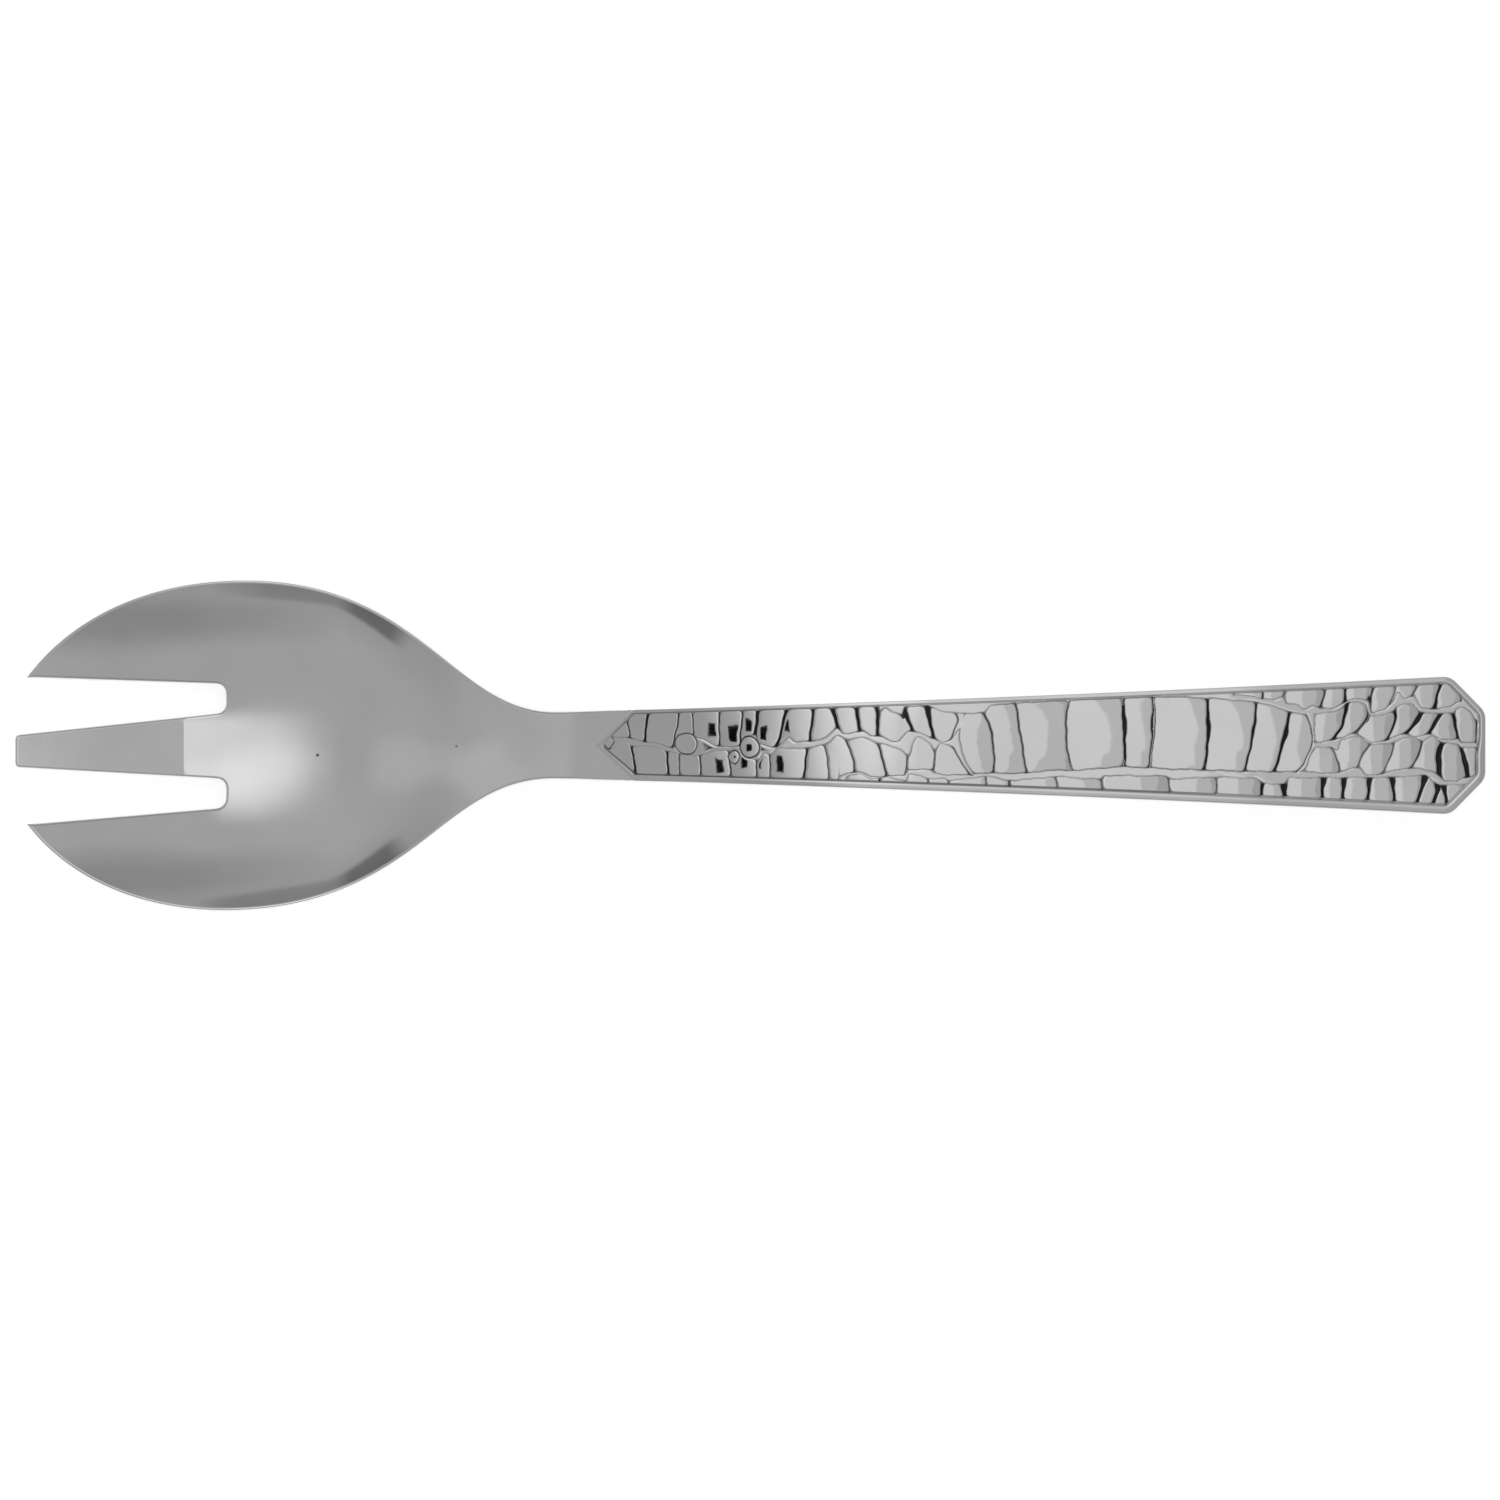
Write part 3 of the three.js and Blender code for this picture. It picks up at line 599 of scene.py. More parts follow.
REAR_HIGH_TOP = [
    (122.1, 5.3), (128.1, 6.1), (129.3, 7.3), (131.1, 7.5), (132.4, 7.1), (133.3, 5.2), (135.4, 5.2),
    (137.4, 5.9), (138.1, 6.7), (139.7, 7.2), (140.7, 7.1), (142.3, 5.7), (147.8, 5.6), (148.7, 6.3),
    (149.7, 6.7), (150.9, 6), (152.1, 4.4),
]
STRIP_FOOT = [(0, -12), (154, -12)]
STRIP_TOP = [
    (41.9, -5.9), (43.4, -5), (45.3, -5), (47.1, -5.7), (49.1, -5.4), (52.6, -6.1), (53.4, -4.9),
    (55.2, -5.1), (56.9, -5.8), (59.5, -5.6), (60.5, -6), (66.6, -5.3), (70.9, -6), (79, -5.4),
    (86.2, -5.8), (87.3, -5.2), (97.4, -5.3), (98.8, -5.8), (106.4, -5.5), (113, -5.7), (115, -6.6),
    (118.1, -6.6), (119.5, -5.6), (137.1, -5.5), (143, -5.2), (145.7, -6.8), (150, -6.8),
]
CREST_FOOT = [
    (108.6, 8.8), (112.1, 8.4), (116.4, 7.9), (118.1, 8.2), (118.8, 7.2), (120.5, 7), (121.9, 6.3),
    (123.6, 6.8), (124.9, 6.3), (126.8, 6.4), (128.7, 7.3), (131.1, 8), (133, 7.8), (133.5, 5.7),
    (135.9, 6.2), (137.4, 7.6), (138.3, 9.1), (139.5, 8.1), (140.9, 8.4), (142.5, 6.5), (144.2, 6.3),
    (147.5, 6.7), (149.5, 7.7),
]
CREST_TOP = [(0, 12), (154, 12)]

# Rows of scales: the line below, the line above, the radius of the scales' crowns, how broad cuts open, and
# the cuts between the scales. Broad cuts open by so much, at a share of their length, over a share of it.
# A cut is (its place along on the line below, the same on the line above, its bow, its breadth).

SCALE_ROWS = [
    (UPPER_FOOT, UPPER_TOP, 110, (0.28, 1, 0.45), [
        (0.8, 0.8, 0, 0.5), (5.7, 4.1, 0, 1.2), (8.1, 9.1, 0.2, 1.6), (12.9, 13.6, 0.9, 1.3),
        (16.5, 16.5, 0, 1.1), (21, 21, 0, 1.2), (24.5, 25.5, 0, 1.3), (27, 28.4, 0, 1.8),
        (30.7, 32.9, 0.7, 2), (36.4, 37.2, 0.2, 1.6), (41.2, 38.4, 0.3, 2.2), (45, 42.6, 0.3, 2),
        (48.1, 47.7, 0, 2), (54, 52.4, 0, 1.8), (57.6, 56.4, 0, 2), (60.5, 61.4, 0.7, 1),
        (62.4, 63.1, 0, 0.7),
    ]),
    (LOWER_FOOT, LOWER_TOP, 110, (0.1, 0.3, 0.4), [
        (0.8, 0.8, 0, 0.5), (7.6, 6, 0, 1.5), (11.4, 12, 0.5, 1.5), (14.6, 14.1, 0, 1.15),
        (18.6, 17.6, 0, 1.2), (23.3, 22.7, 0, 1.2), (27.4, 27.4, 0, 1.1), (28.9, 29.5, 0.5, 1.1),
        (34.1, 36, 0.2, 1.4), (38.6, 38.8, 1, 1), (44.1, 42.6, 0.3, 1.1), (49.5, 48, 0.2, 1.2),
        (53, 53.1, 0, 1), (57.4, 57.9, 0.1, 1), (64.5, 60.9, 0.3, 1.2),
    ]),
    (PLATE_FOOT, PLATE_TOP, 100, (0.24, 0.62, 0.15), [
        (64.5, 62.9, -1.6, 0.7), (67.9, 66.2, 0.7, 1.1), (73.6, 71.7, 0, 1.1), (81.4, 80.9, -0.7, 1.1),
        (90.5, 90.2, 0.2, 1.8), (94.8, 95.5, 0.3, 1.8), (104.3, 104.8, 0.5, 1.8), (111.4, 113.5, 0.3, 1.4),
        (116.6, 119.3, 0.2, 1.8), (120.5, 122.1, 1.9, 1.1),
    ]),
    (REAR_HIGH_FOOT, REAR_HIGH_TOP, 45, (0.14, 0.75, 0.35), [
        (123.6, 123.6, 0, 0.7), (126.8, 129.3, 0.5, 1.8), (130.5, 133, 0.7, 1.2), (136.1, 137.6, 0.7, 1.5),
        (139.5, 142.5, 0.3, 1.8), (143.5, 145.7, 0, 1.8), (148.8, 147.8, 0, 1.6), (152.1, 152.1, 0, 1.4),
    ]),
    (REAR_FOOT, REAR_LOW_TOP, 45, (0.22, 0.4, 0.4), [
        (121.1, 123.3, 0, 0.8), (128.1, 126.6, 0.3, 1), (131.2, 133.5, -0.3, 0.9), (135.4, 137.4, 0.5, 1),
        (140.6, 142.5, 0.3, 1.1), (145.6, 146.1, -0.5, 2.2), (150.4, 149.2, 0.3, 2), (152.1, 152.1, 0, 1.2),
    ]),
    (STRIP_FOOT, STRIP_TOP, 60, (0.22, 0.9, 0.15), [
        (42.2, 42.6, 0, 0.8), (48.4, 48.4, 0, 1.2), (52.8, 52.6, 0, 0.8), (57.1, 56.7, 0, 1),
        (60.3, 60.2, 0.2, 1), (66.7, 66.6, 0, 1), (71, 70.7, 0, 1.2), (79.1, 78.6, 0.2, 1),
        (87.1, 86.4, 0.3, 1), (98.6, 98.1, 0.2, 1), (106.2, 106.6, 0, 1), (114.2, 114.5, 0, 1.5),
        (118.8, 118.1, 0, 2.4), (124.7, 125.2, 0, 2), (129, 128.8, -0.3, 2), (132.6, 133.3, 0, 2),
        (137.4, 137.1, 0.3, 2), (140.9, 143.1, 0, 2.2), (143.7, 145.2, 0.3, 2.2), (147.1, 146.2, 0, 2),
        (150.9, 150.9, 0, 1),
    ]),
    (CREST_FOOT, CREST_TOP, 50, (0.15, 0.1, 0.15), [
        (109.5, 109.5, 0, 0.8), (114.5, 114.5, 0, 1.2), (118, 119, 0.2, 0.8), (124.7, 125.5, 0.2, 1.2),
        (128.8, 129.3, 0, 1.5), (133.1, 134.2, 0, 1.3), (136.9, 138.1, 0.3, 1), (140.7, 142.3, 0, 1),
        (144.5, 146.1, 0, 1.8), (149.5, 149.5, 0, 1),
    ]),
]

# Small scales that lie over the rows: place along and across, half length, half width, the groove's breadth,
# and the outline's fullness, from 1 for a lozenge to 2 for an oval

ISLANDS = [
    (15.3, 0.26, 1.9, 1.85, 0.8, 2),
    (26.15, -0.3, 1.67, 1.85, 0.9, 2),
    (23.5, -1.97, 0.98, 1.18, 0.8, 1.6),
    (2.04, 0.52, 0.98, 1.15, 0.9, 1.3),
]
ISLAND_CROWN = 0.02

# How much each plate leans towards the butt, and by how much more away from its middle

PLATE_LEANS = [
    (0.035, -0.0005), (0.019, 0.0003), (0.015, 0.0008), (-0.013, 0.0008), (0.002, 0.0002), (-0.024, 0.0004),
    (-0.025, 0.0006), (-0.018, 0.0003), (-0.013, -0.0003),
]


def rounded_line(line):
    """A row line through its places, level at its peaks and dips so that it doesn't overshoot them."""
    places, values = np.transpose(np.asarray(line, float))
    steep = np.diff(values) / np.diff(places)
    before, after = steep[:-1], steep[1:]
    both = before * after
    slopes = np.where(both > 0, 2 * both / np.where(both > 0, before + after, 1), 0)
    curve = cubics(np.stack([places, values, [0, *slopes, 0]], axis=1))
    return lambda along: curve(np.clip(along, places[0], places[-1]))


def across(line, along):
    """A row line's place across, and the cosine of its slope there."""
    curve = rounded_line(line)
    before, here, after = (curve(along + shift) for shift in (-LINE_STEP, 0, LINE_STEP))
    return here, 1 / np.hypot(1, (after - before) / (2 * LINE_STEP))


def cut_along(cut, share):
    """A cut's place along, at a share of the way from the line below to the one above."""
    low, high, bow, _ = cut
    return mix(low, high, share) + 4 * bow * share * (1 - share)


def panel_room(x, y):
    """How far points lie inside the panel's edge."""
    rim = rim_width(x, y)
    side = handle_side(x) - rim - np.abs(y)
    nose = (x - NOSE_X - np.abs(y)) / DIAGONAL - rim
    clip = (CLIP_X + BUTT_HALF_WIDTH - x - np.abs(y)) / DIAGONAL - rim
    end = BUTT_X - x - rim
    return np.min([side, nose, clip, end], axis=0)


def groove(breadth, painted_shade):
    """Half-width, depth, flank and painted shade of a cut's groove: breadth 1 is a thin one, and 2 a deep
    one.
    """
    more = max(breadth - 1, 0)
    dark = min(painted_shade * min(breadth, 1) + more, 1)
    return THIN_GROOVE + GROOVE_STEP * more, THIN_DEPTH + DEPTH_STEP * more, FLANK, dark


ROW_FOOT = (0, LINE_DEPTH, LINE_FLANK, FOOT_SHADE)
ROW_TOP = (0, LINE_DEPTH, LINE_FLANK, TOP_SHADE)
PANEL_EDGE = (THIN_GROOVE, EDGE_DEPTH, FLANK, EDGE_SHADE)


def shade_falloff(distance):
    """How much painted shade metal gets at a distance from a groove."""
    return 1 - smooth(distance, SHADE_CORE, SHADE_REACH)


def carved(distances, sides, room):
    """How deep points lie in the grooves round a scale with round corners, and how much painted shade they
    get.
    """
    widths, depths, flanks, painted_shades = np.transpose(sides)[:, :, None]
    spread = np.clip(CORNER_SHARE * room, CORNER_LEAST, CORNER_SPREAD)
    weights = np.exp(-np.clip((distances - widths) / spread, -WEIGHT_LIMIT, WEIGHT_LIMIT))
    total = weights.sum(axis=0)
    inside_by = np.maximum(-spread * np.log(total), 0)
    depth, flank, painted_shade = ((weights * value).sum(axis=0) / total for value in (depths, flanks, painted_shades))
    return depth * np.exp(-inside_by / flank), painted_shade * shade_falloff(inside_by)


def from_cut(cut, gap, share, tall, opening):
    """How far points lie from a cut's groove, where gap is their distance along."""
    amount, place, length = opening
    low, high, bow, breadth = cut
    lean = (high - low + 4 * bow * (1 - 2 * share)) / tall
    opened = amount * np.exp(-((share - place) / length) ** 2)
    return gap / np.hypot(1, lean) - opened * max(breadth - 1, 0)


def pad_lean(number, index, row, ahead, aside):
    """How much higher a scale's top is because it leans: a plate as listed, another one its own way."""
    if row[0] is PLATE_FOOT:
        lean, cup = PLATE_LEANS[index]
        return -(lean + cup * aside ** 2) * ahead
    turn = TILT_TURN * index + number
    return TILT_REACH / row[2] * (ahead * math.cos(turn) + aside * math.sin(turn))


def row_relief(number, row, s, y, room):
    """Heights, painted shade, and distances outside the row, for points of one row of scales."""
    foot, top, radius, opening, cuts = row
    low, low_share = across(foot, s)
    high, high_share = across(top, s)
    tall = np.maximum(high - low, ROW_LEAST)
    share = np.clip((y - low) / tall, 0, 1)
    over, under = (y - low) * low_share, (high - y) * high_share
    ends = [cut_along(cuts[0], share) - s, s - cut_along(cuts[-1], share)]
    outside = np.max([-over, -under, *ends], axis=0)
    height, painted_shade = np.zeros((2, len(s)))
    for index, (left, right) in enumerate(zip(cuts, cuts[1:])):
        start, end = cut_along(left, share), cut_along(right, share)
        near = (s > start) & (s < end) & (outside < 0)
        if not near.any():
            continue
        distances = np.array([
            from_cut(left, (s - start)[near], share[near], tall[near], opening),
            from_cut(right, (end - s)[near], share[near], tall[near], opening),
            over[near],
            under[near],
            room[near],
        ])
        sides = [groove(left[3], LEFT_SHADE), groove(right[3], RIGHT_SHADE), ROW_FOOT, ROW_TOP, PANEL_EDGE]
        span = min((end - start)[near].mean(), tall[near].mean(), np.ptp(y[near]))
        cut, painted_shade[near] = carved(distances, sides, span / 2)
        ahead, aside = s[near] - s[near].mean(), y[near] - y[near].mean()
        crown = (ahead ** 2 + aside ** 2 / SIDE_CROWN) / (2 * radius)
        height[near] = SCALE_HEIGHT + pad_lean(number, index, row, ahead, aside) - crown - cut
    return height, painted_shade, outside


def edge_fade(x, y):
    """How much less painted shade the panel's edge gets on the far side, and on the near side towards the
    butt.
    """
    near = NEAR_EDGE_FADE * smooth(-y, 0, SIDE_BLEND) * smooth(x - NOSE_X, *NEAR_FADE_RUN)
    return FAR_EDGE_FADE * smooth(y, 0, SIDE_BLEND) + near


def with_island(island, s, y, height, painted_shade):
    """Heights and painted shade once a small scale lies over the rows."""
    along, aside, half_length, half_width, breadth, fullness = island
    ahead, beside = np.abs(s - along) / half_length, np.abs(y - aside) / half_width
    place = (ahead ** fullness + beside ** fullness) ** (1 / fullness)
    inside_by = (1 - place) * min(half_length, half_width)
    width, depth, flank, dark = groove(breadth, RIGHT_SHADE)
    from_groove = np.maximum(np.abs(inside_by) - width, 0)
    cut = depth * np.exp(-from_groove / flank)
    top = np.where(inside_by > 0, SCALE_HEIGHT - ISLAND_CROWN * place ** 2, height)
    height = np.where((inside_by > 0) | (from_groove < SHADE_REACH), top - cut, height)
    ring = dark * shade_falloff(from_groove)
    return height, np.where(inside_by > 0, ring, np.maximum(painted_shade, ring))


def waves(kinds, x, y):
    """The sum of some small waves."""
    return sum(height * np.sin(along * x + aside * y) for height, along, aside in kinds)


def swell(x, y):
    """A slow, shallow swell of the struck metal."""
    bend, bend_across = SWELL_BEND
    along, aside, start = SWELL_ACROSS
    lengthwise = np.sin(SWELL_ALONG * x + bend * np.sin(bend_across * y))
    return SWELL_HEIGHT * lengthwise * np.sin(along * x + aside * y + start)


def embossing(x, y):
    """Height of the scales and the land between them over the panel's floor, and how much painted shade they
    get.
    """
    s = x - NOSE_X + waves(WARP_ALONG, x, y)
    v = y + waves(WARP_ACROSS, x, y)
    room = np.maximum(panel_room(x, y), 0)
    height, painted_shade = np.zeros((2, len(x)))
    land = np.full_like(x, np.inf)
    for number, row in enumerate(SCALE_ROWS):
        pads, dark, outside = row_relief(number, row, s, v, room)
        painted_shade = np.where(pads > height, dark, painted_shade)
        height = np.maximum(height, pads)
        land = np.minimum(land, np.maximum(outside, 0))
    level = SCALE_HEIGHT - LAND_DROP - LINE_DEPTH * np.exp(-land / LINE_FLANK)
    level -= EDGE_DEPTH * np.exp(-room / FLANK)
    height = np.where(land > 0, level, height)
    painted_shade = np.where(land > 0, EDGE_SHADE * shade_falloff(room), painted_shade)
    for island in ISLANDS:
        height, painted_shade = with_island(island, s, v, height, painted_shade)
    painted_shade *= 1 - edge_fade(x, y) * shade_falloff(room)
    return np.maximum(height + swell(x, y), 0), painted_shade


# Handle's shells


def stations(step, inset):
    """Places along the handle's outline moved inwards."""
    low = NOSE_X + inset * DIAGONAL
    high = BUTT_X - inset
    return np.linspace(low, high, int(np.ceil((high - low) / step)) + 1)


def butt_corners(inset):
    """The upper corners of the butt's outline moved inwards, with the directions before and after each."""
    slope = (BUTT_HALF_WIDTH - SHOULDER_HALF_WIDTH + 4 * SIDE_BOW) / (CLIP_X - SHOULDER_X)
    back = inset * (DIAGONAL - 1) / (1 + slope)
    side, clip, end = np.array([1, slope]), np.array([1, -1]), np.array([0, -1])
    end_half = BUTT_HALF_WIDTH - BUTT_CLIP - inset * (DIAGONAL - 1)
    return [
        ((CLIP_X - back, BUTT_HALF_WIDTH - slope * back - inset), side, clip),
        ((BUTT_X - inset, end_half), clip, end),
    ]


def eased(loop, inset):
    """A loop whose butt corners are rounded."""
    for corner, *ways in butt_corners(inset):
        before, after = unit(np.array(ways))
        along = (before + after) / np.linalg.norm(before + after)
        outward = np.array([-along[1], along[0]])
        half_turn = math.acos(along @ before)
        reach = (BUTT_CORNER_RADIUS - inset) * math.tan(half_turn)
        for mirror in ([1, 1], [1, -1]):
            away = loop * mirror - corner
            room = np.maximum(reach - np.abs(away @ along), 0)
            room[np.linalg.norm(away, axis=1) > 2 * reach] = 0
            inward = math.tan(half_turn) * room ** 2 / (2 * reach)
            loop = loop - inward[:, None] * outward * mirror
    return loop


def handle_loop(x, inset, end_columns):
    """The handle's outline moved inwards, anticlockwise from its nose, with points along its butt."""
    half = handle_width(x, inset)
    lower = np.stack([x, -half], axis=1)[1:]
    upper = np.stack([x, half], axis=1)[:0:-1]
    end = np.linspace(-half[-1], half[-1], end_columns + 1)[1:-1]
    butt = np.stack([np.full_like(end, x[-1]), end], axis=1)
    return eased(np.concatenate([[[x[0], 0]], lower, butt, upper]), inset)


def cap(first, steps, columns, count):
    """Faces across a handle ring: a nose triangle, strips, and a last strip along the butt."""
    lower = first + np.arange(1, steps + 1)
    upper = first + count - np.arange(1, steps + 1)
    faces = [[first, lower[0], upper[0]]]
    faces += np.stack([lower[:-2], lower[1:-1], upper[1:-1], upper[:-2]], axis=1).tolist()
    butt = lower[-1] + np.arange(1, columns)
    faces.append([lower[-2], lower[-1], *butt, upper[-1], upper[-2]])
    return faces


def lifted(flat, share, rise):
    """Points at a share of half the handle's thickness over its middle, and a rise more."""
    x, y = flat.T
    return np.stack([x, y, midline(x) + share * handle_half(x) + rise], axis=1)


def panel_grid(edge, steps, columns):
    """Points across the panel between the two sides of its edge loop, behind the nose."""
    lower = edge[1:steps + 1]
    upper = edge[:-steps - 1:-1]
    shares = np.linspace(0, 1, columns + 1)[None, :, None]
    grid = lower[:, None] * (1 - shares) + upper[:, None] * shares
    grid[-1] = edge[steps:steps + columns + 1]
    return grid


def panel_mesh(edge, steps, columns):
    """The embossed panel inside an edge loop: its points, faces, outer ring and painted shade."""
    grid = panel_grid(edge, steps, columns)
    x, y = grid[:, :, 0], grid[:, :, 1]
    relief, painted_shade = embossing(x.ravel(), y.ravel())
    relief = relief.reshape(x.shape)
    relief[:, 0] = relief[:, -1] = 0
    relief[-1] = 0
    floor = midline(x) + handle_half(x) - PANEL_RECESS
    nose = lifted(edge[:1], 1, -PANEL_RECESS)
    points = np.concatenate([nose, np.dstack([grid, floor + relief]).reshape(-1, 3)])

    place = 1 + np.arange(steps * (columns + 1)).reshape(steps, columns + 1)
    faces = [[0, place[0, j], place[0, j + 1]] for j in range(columns)]
    quads = np.stack([place[:-1, :-1], place[1:, :-1], place[1:, 1:], place[:-1, 1:]], axis=2)
    faces += quads.reshape(-1, 4).tolist()
    ring = np.concatenate([[0], place[:, 0], place[-1, 1:-1], place[::-1, -1]])
    return points, faces, ring, np.concatenate([[0], painted_shade])


def rim_rings(rim, bevel):
    """Rings over the rim, down the side and up the hollow: inset, share of half the thickness, and rise."""
    rings = [(rim * share, 1, -drop) for share, drop in RIM_TOP]
    rings += [(rim * share, 1, -drop * bevel * rim) for share, drop in RIM_FALL]
    rings += [(inset, 1, -drop * bevel) for inset, drop in FRONT_EDGE]
    rings += [(inset, 0, rise) for inset, rise in SEAM_EDGE]
    return rings + [(SHELL_WALL, 1, -PANEL_RECESS - SHELL_WALL)]


def front_shell(material):
    """The struck front of the handle: embossed panel, raised rim, bevelled side, seam and hollow."""
    x = stations(PANEL_STEP, RIM_GUIDE)
    columns = int(np.ceil(2 * handle_width(x, RIM_GUIDE).max() / PANEL_STEP))
    steps = len(x) - 1
    guide = handle_loop(x, RIM_GUIDE, columns)
    outward = offsets(guide)
    count = len(guide)
    outer = guide + outward * RIM_GUIDE
    rim = rim_width(*outer.T)
    bevel = mix(NOSE_BEVEL, 1, smooth(outer[:, 0], SHOULDER_X, SHOULDER_X + BEVEL_GROWTH))

    panel, faces, ring, panel_shade = panel_mesh(outer - outward * rim[:, None], steps, columns)
    points = [panel]
    at = len(panel)
    for inset, share, rise in rim_rings(rim, bevel):
        points.append(lifted(outer - outward * np.reshape(inset, (-1, 1)), share, rise))
        after = at + np.arange(count)
        faces += np.stack([after, np.roll(after, -1), np.roll(ring, -1), ring], axis=1).tolist()
        ring = after
        at += count
    faces += [face[::-1] for face in cap(at - count, steps, columns, count)]
    piece = make_piece("handle_front_struck", np.concatenate(points), faces, material)

    # Painted shade of the panel's grooves and the rim's first rings, kept in the groove attribute
    rim_shades = [dark * (1 - edge_fade(*outer.T)) for dark in RIM_SHADE]
    painted_shade = np.zeros(at, np.float32)
    painted_shade[:len(panel) + len(RIM_SHADE) * count] = np.concatenate([panel_shade, *rim_shades])
    piece.data.attributes.new("groove", "FLOAT", "POINT").data.foreach_set("value", painted_shade)
    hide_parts("handle_front_shell")


def back_shell(material):
    """The plain back of the handle, from its hollow over the seam, down the side and across its flat."""
    x = stations(BACK_STEP, SHELL_WALL)
    columns = int(np.ceil(2 * handle_width(x, SHELL_WALL)[-1] / BACK_STEP))
    steps = len(x) - 1
    loop = handle_loop(x, SHELL_WALL, columns)
    outward = offsets(loop)
    count = len(loop)
    rings = [(SHELL_WALL, -1, SHELL_WALL)]
    rings += [(inset, 0, -rise) for inset, rise in SEAM_EDGE[::-1]]
    rings += [(inset, -1, drop) for inset, drop in BACK_EDGE[::-1]]
    points = [lifted(loop + outward * (SHELL_WALL - inset), share, rise) for inset, share, rise in rings]
    faces = cap(0, steps, columns, count)
    for i in range(len(rings) - 1):
        faces += band((i + 1) * count, i * count, count).tolist()
    faces += [face[::-1] for face in cap((len(rings) - 1) * count, steps, columns, count)]
    piece = make_piece("handle_back_plain", np.concatenate(points), faces, material)
    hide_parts("handle_back_shell")


# Materials

STEEL_SHADES = (0.6, 0.66)
STRUCK_SHADES = (0.53, 0.58)
CLOUDS = {"Scale": 60, "Detail": 3}
CLOUD_RANGE = (0.3, 0.7)
CLOUD_ROUGHNESS = 0.02
STREAK_STRETCH = (9000, 260, 260)
STREAKS = {"Scale": 1, "Detail": 2}
STREAK_HEIGHT = 0.00001
PIT_SCALE = 95
PIT_SIZE = (0.018, 0.035)
PIT_COLOUR = (0.12, 0.12, 0.12, 1)
# Painted shade in the grooves: the groove attribute mixes in this dark colour
GROOVE_SHADE_RANGE = (0.05, 0.9)
GROOVE_SHADE_COLOUR = (0.02, 0.02, 0.02, 1)
WORN_CENTRE = (FLOOR_X * MM, 0, 0)
WORN_REACH = (0.012, 0.024)
MOTTLE = {"Scale": 180, "Detail": 4}
RESIN_SHADES = (0.5, 0.44, 0.3, 1), (0.66, 0.58, 0.4, 1)
RESIN_ROUGHNESS = (0.75, 0.95)


def new_material(name):
    material = bpy.data.materials.new(name)
    material.use_nodes = True
    tree = material.node_tree
    return material, tree, tree.nodes["Principled BSDF"]


def add(tree, kind, inputs=None, **settings):
    """A shader node with its settings, and its inputs set or linked by name or number."""
    node = tree.nodes.new("ShaderNode" + kind)
    for key, value in settings.items():
        setattr(node, key, value)
    for key, value in (inputs or {}).items():
        if isinstance(value, bpy.types.NodeSocket):
            tree.links.new(value, node.inputs[key])
        else:
            node.inputs[key].default_value = value
    return node


def ramp(tree, value, low, high, start, end, kind="LINEAR"):
    """A value carried from one range to another, and held at its ends."""
    inputs = {"Value": value, 1: low, 2: high, 3: start, 4: end}
    return add(tree, "MapRange", inputs, interpolation_type=kind).outputs[0]


def times(tree, *factors):
    """The product of some values."""
    product = factors[0]
    for factor in factors[1:]:
        product = add(tree, "Math", {0: product, 1: factor}, operation="MULTIPLY").outputs[0]
    return product


def plus(tree, a, b):
    return add(tree, "Math", {0: a, 1: b}).outputs[0]


def blend(tree, share, first, second):
    """A colour some way from a first one to a second one."""
    return add(tree, "Mix", {0: share, 6: first, 7: second}, data_type="RGBA").outputs[2]


def noise(tree, place, settings):
    return add(tree, "TexNoise", {"Vector": place, **settings}).outputs["Fac"]


def steel(name, roughness, streaks, shades=STEEL_SHADES, groove_shade=False, wear=0):
    """Polished stainless steel with faint streaks, clouding, a few tiny pits, and a worn middle."""
    material, tree, shader = new_material(name)
    shader.inputs["Metallic"].default_value = 1
    place = add(tree, "TexCoord").outputs["Object"]
    cloud = noise(tree, place, CLOUDS)
    grey = ramp(tree, cloud, *CLOUD_RANGE, *shades)
    pits = add(tree, "TexVoronoi", {"Vector": place, "Scale": PIT_SCALE}).outputs["Distance"]
    colour = blend(tree, ramp(tree, pits, *PIT_SIZE, 1, 0), grey, PIT_COLOUR)
    # Painted shade in the embossing's grooves darkens the base colour
    if groove_shade:
        painted_shade = add(tree, "Attribute", attribute_name="groove").outputs["Fac"]
        colour = blend(tree, ramp(tree, painted_shade, *GROOVE_SHADE_RANGE, 0, 1), colour, GROOVE_SHADE_COLOUR)
    tree.links.new(colour, shader.inputs["Base Color"])

    clouded = ramp(tree, cloud, *CLOUD_RANGE, roughness, roughness + CLOUD_ROUGHNESS)
    away = add(tree, "VectorMath", {0: place, 1: WORN_CENTRE}, operation="DISTANCE")
    rubbed = ramp(tree, away.outputs["Value"], *WORN_REACH, wear, 0, "SMOOTHSTEP")
    tree.links.new(plus(tree, clouded, rubbed), shader.inputs["Roughness"])
    stretched = add(tree, "Mapping", {"Vector": place, "Scale": STREAK_STRETCH}).outputs[0]
    streak = noise(tree, stretched, STREAKS)
    bump = add(tree, "Bump", {"Height": streak, "Strength": streaks, "Distance": STREAK_HEIGHT})
    tree.links.new(bump.outputs[0], shader.inputs["Normal"])
    return material


def resin(name):
    """Cast resin with soft mottling."""
    material, tree, shader = new_material(name)
    mottle = noise(tree, add(tree, "TexCoord").outputs["Object"], MOTTLE)
    tree.links.new(blend(tree, mottle, *RESIN_SHADES), shader.inputs["Base Color"])
    tree.links.new(ramp(tree, mottle, 0, 1, *RESIN_ROUGHNESS), shader.inputs["Roughness"])
    return material


# Studio

FLOOR_CORNER = Vector((-30, 30, 0))
FLOOR_LEVEL = 0.86
FLOOR_GLOW = 0.58
BLACK_LEVEL = 0.01
STAGE_ROUGHNESS = 0.9

# The camera looks straight down. A small black plate behind it is what the steel reflects of it.

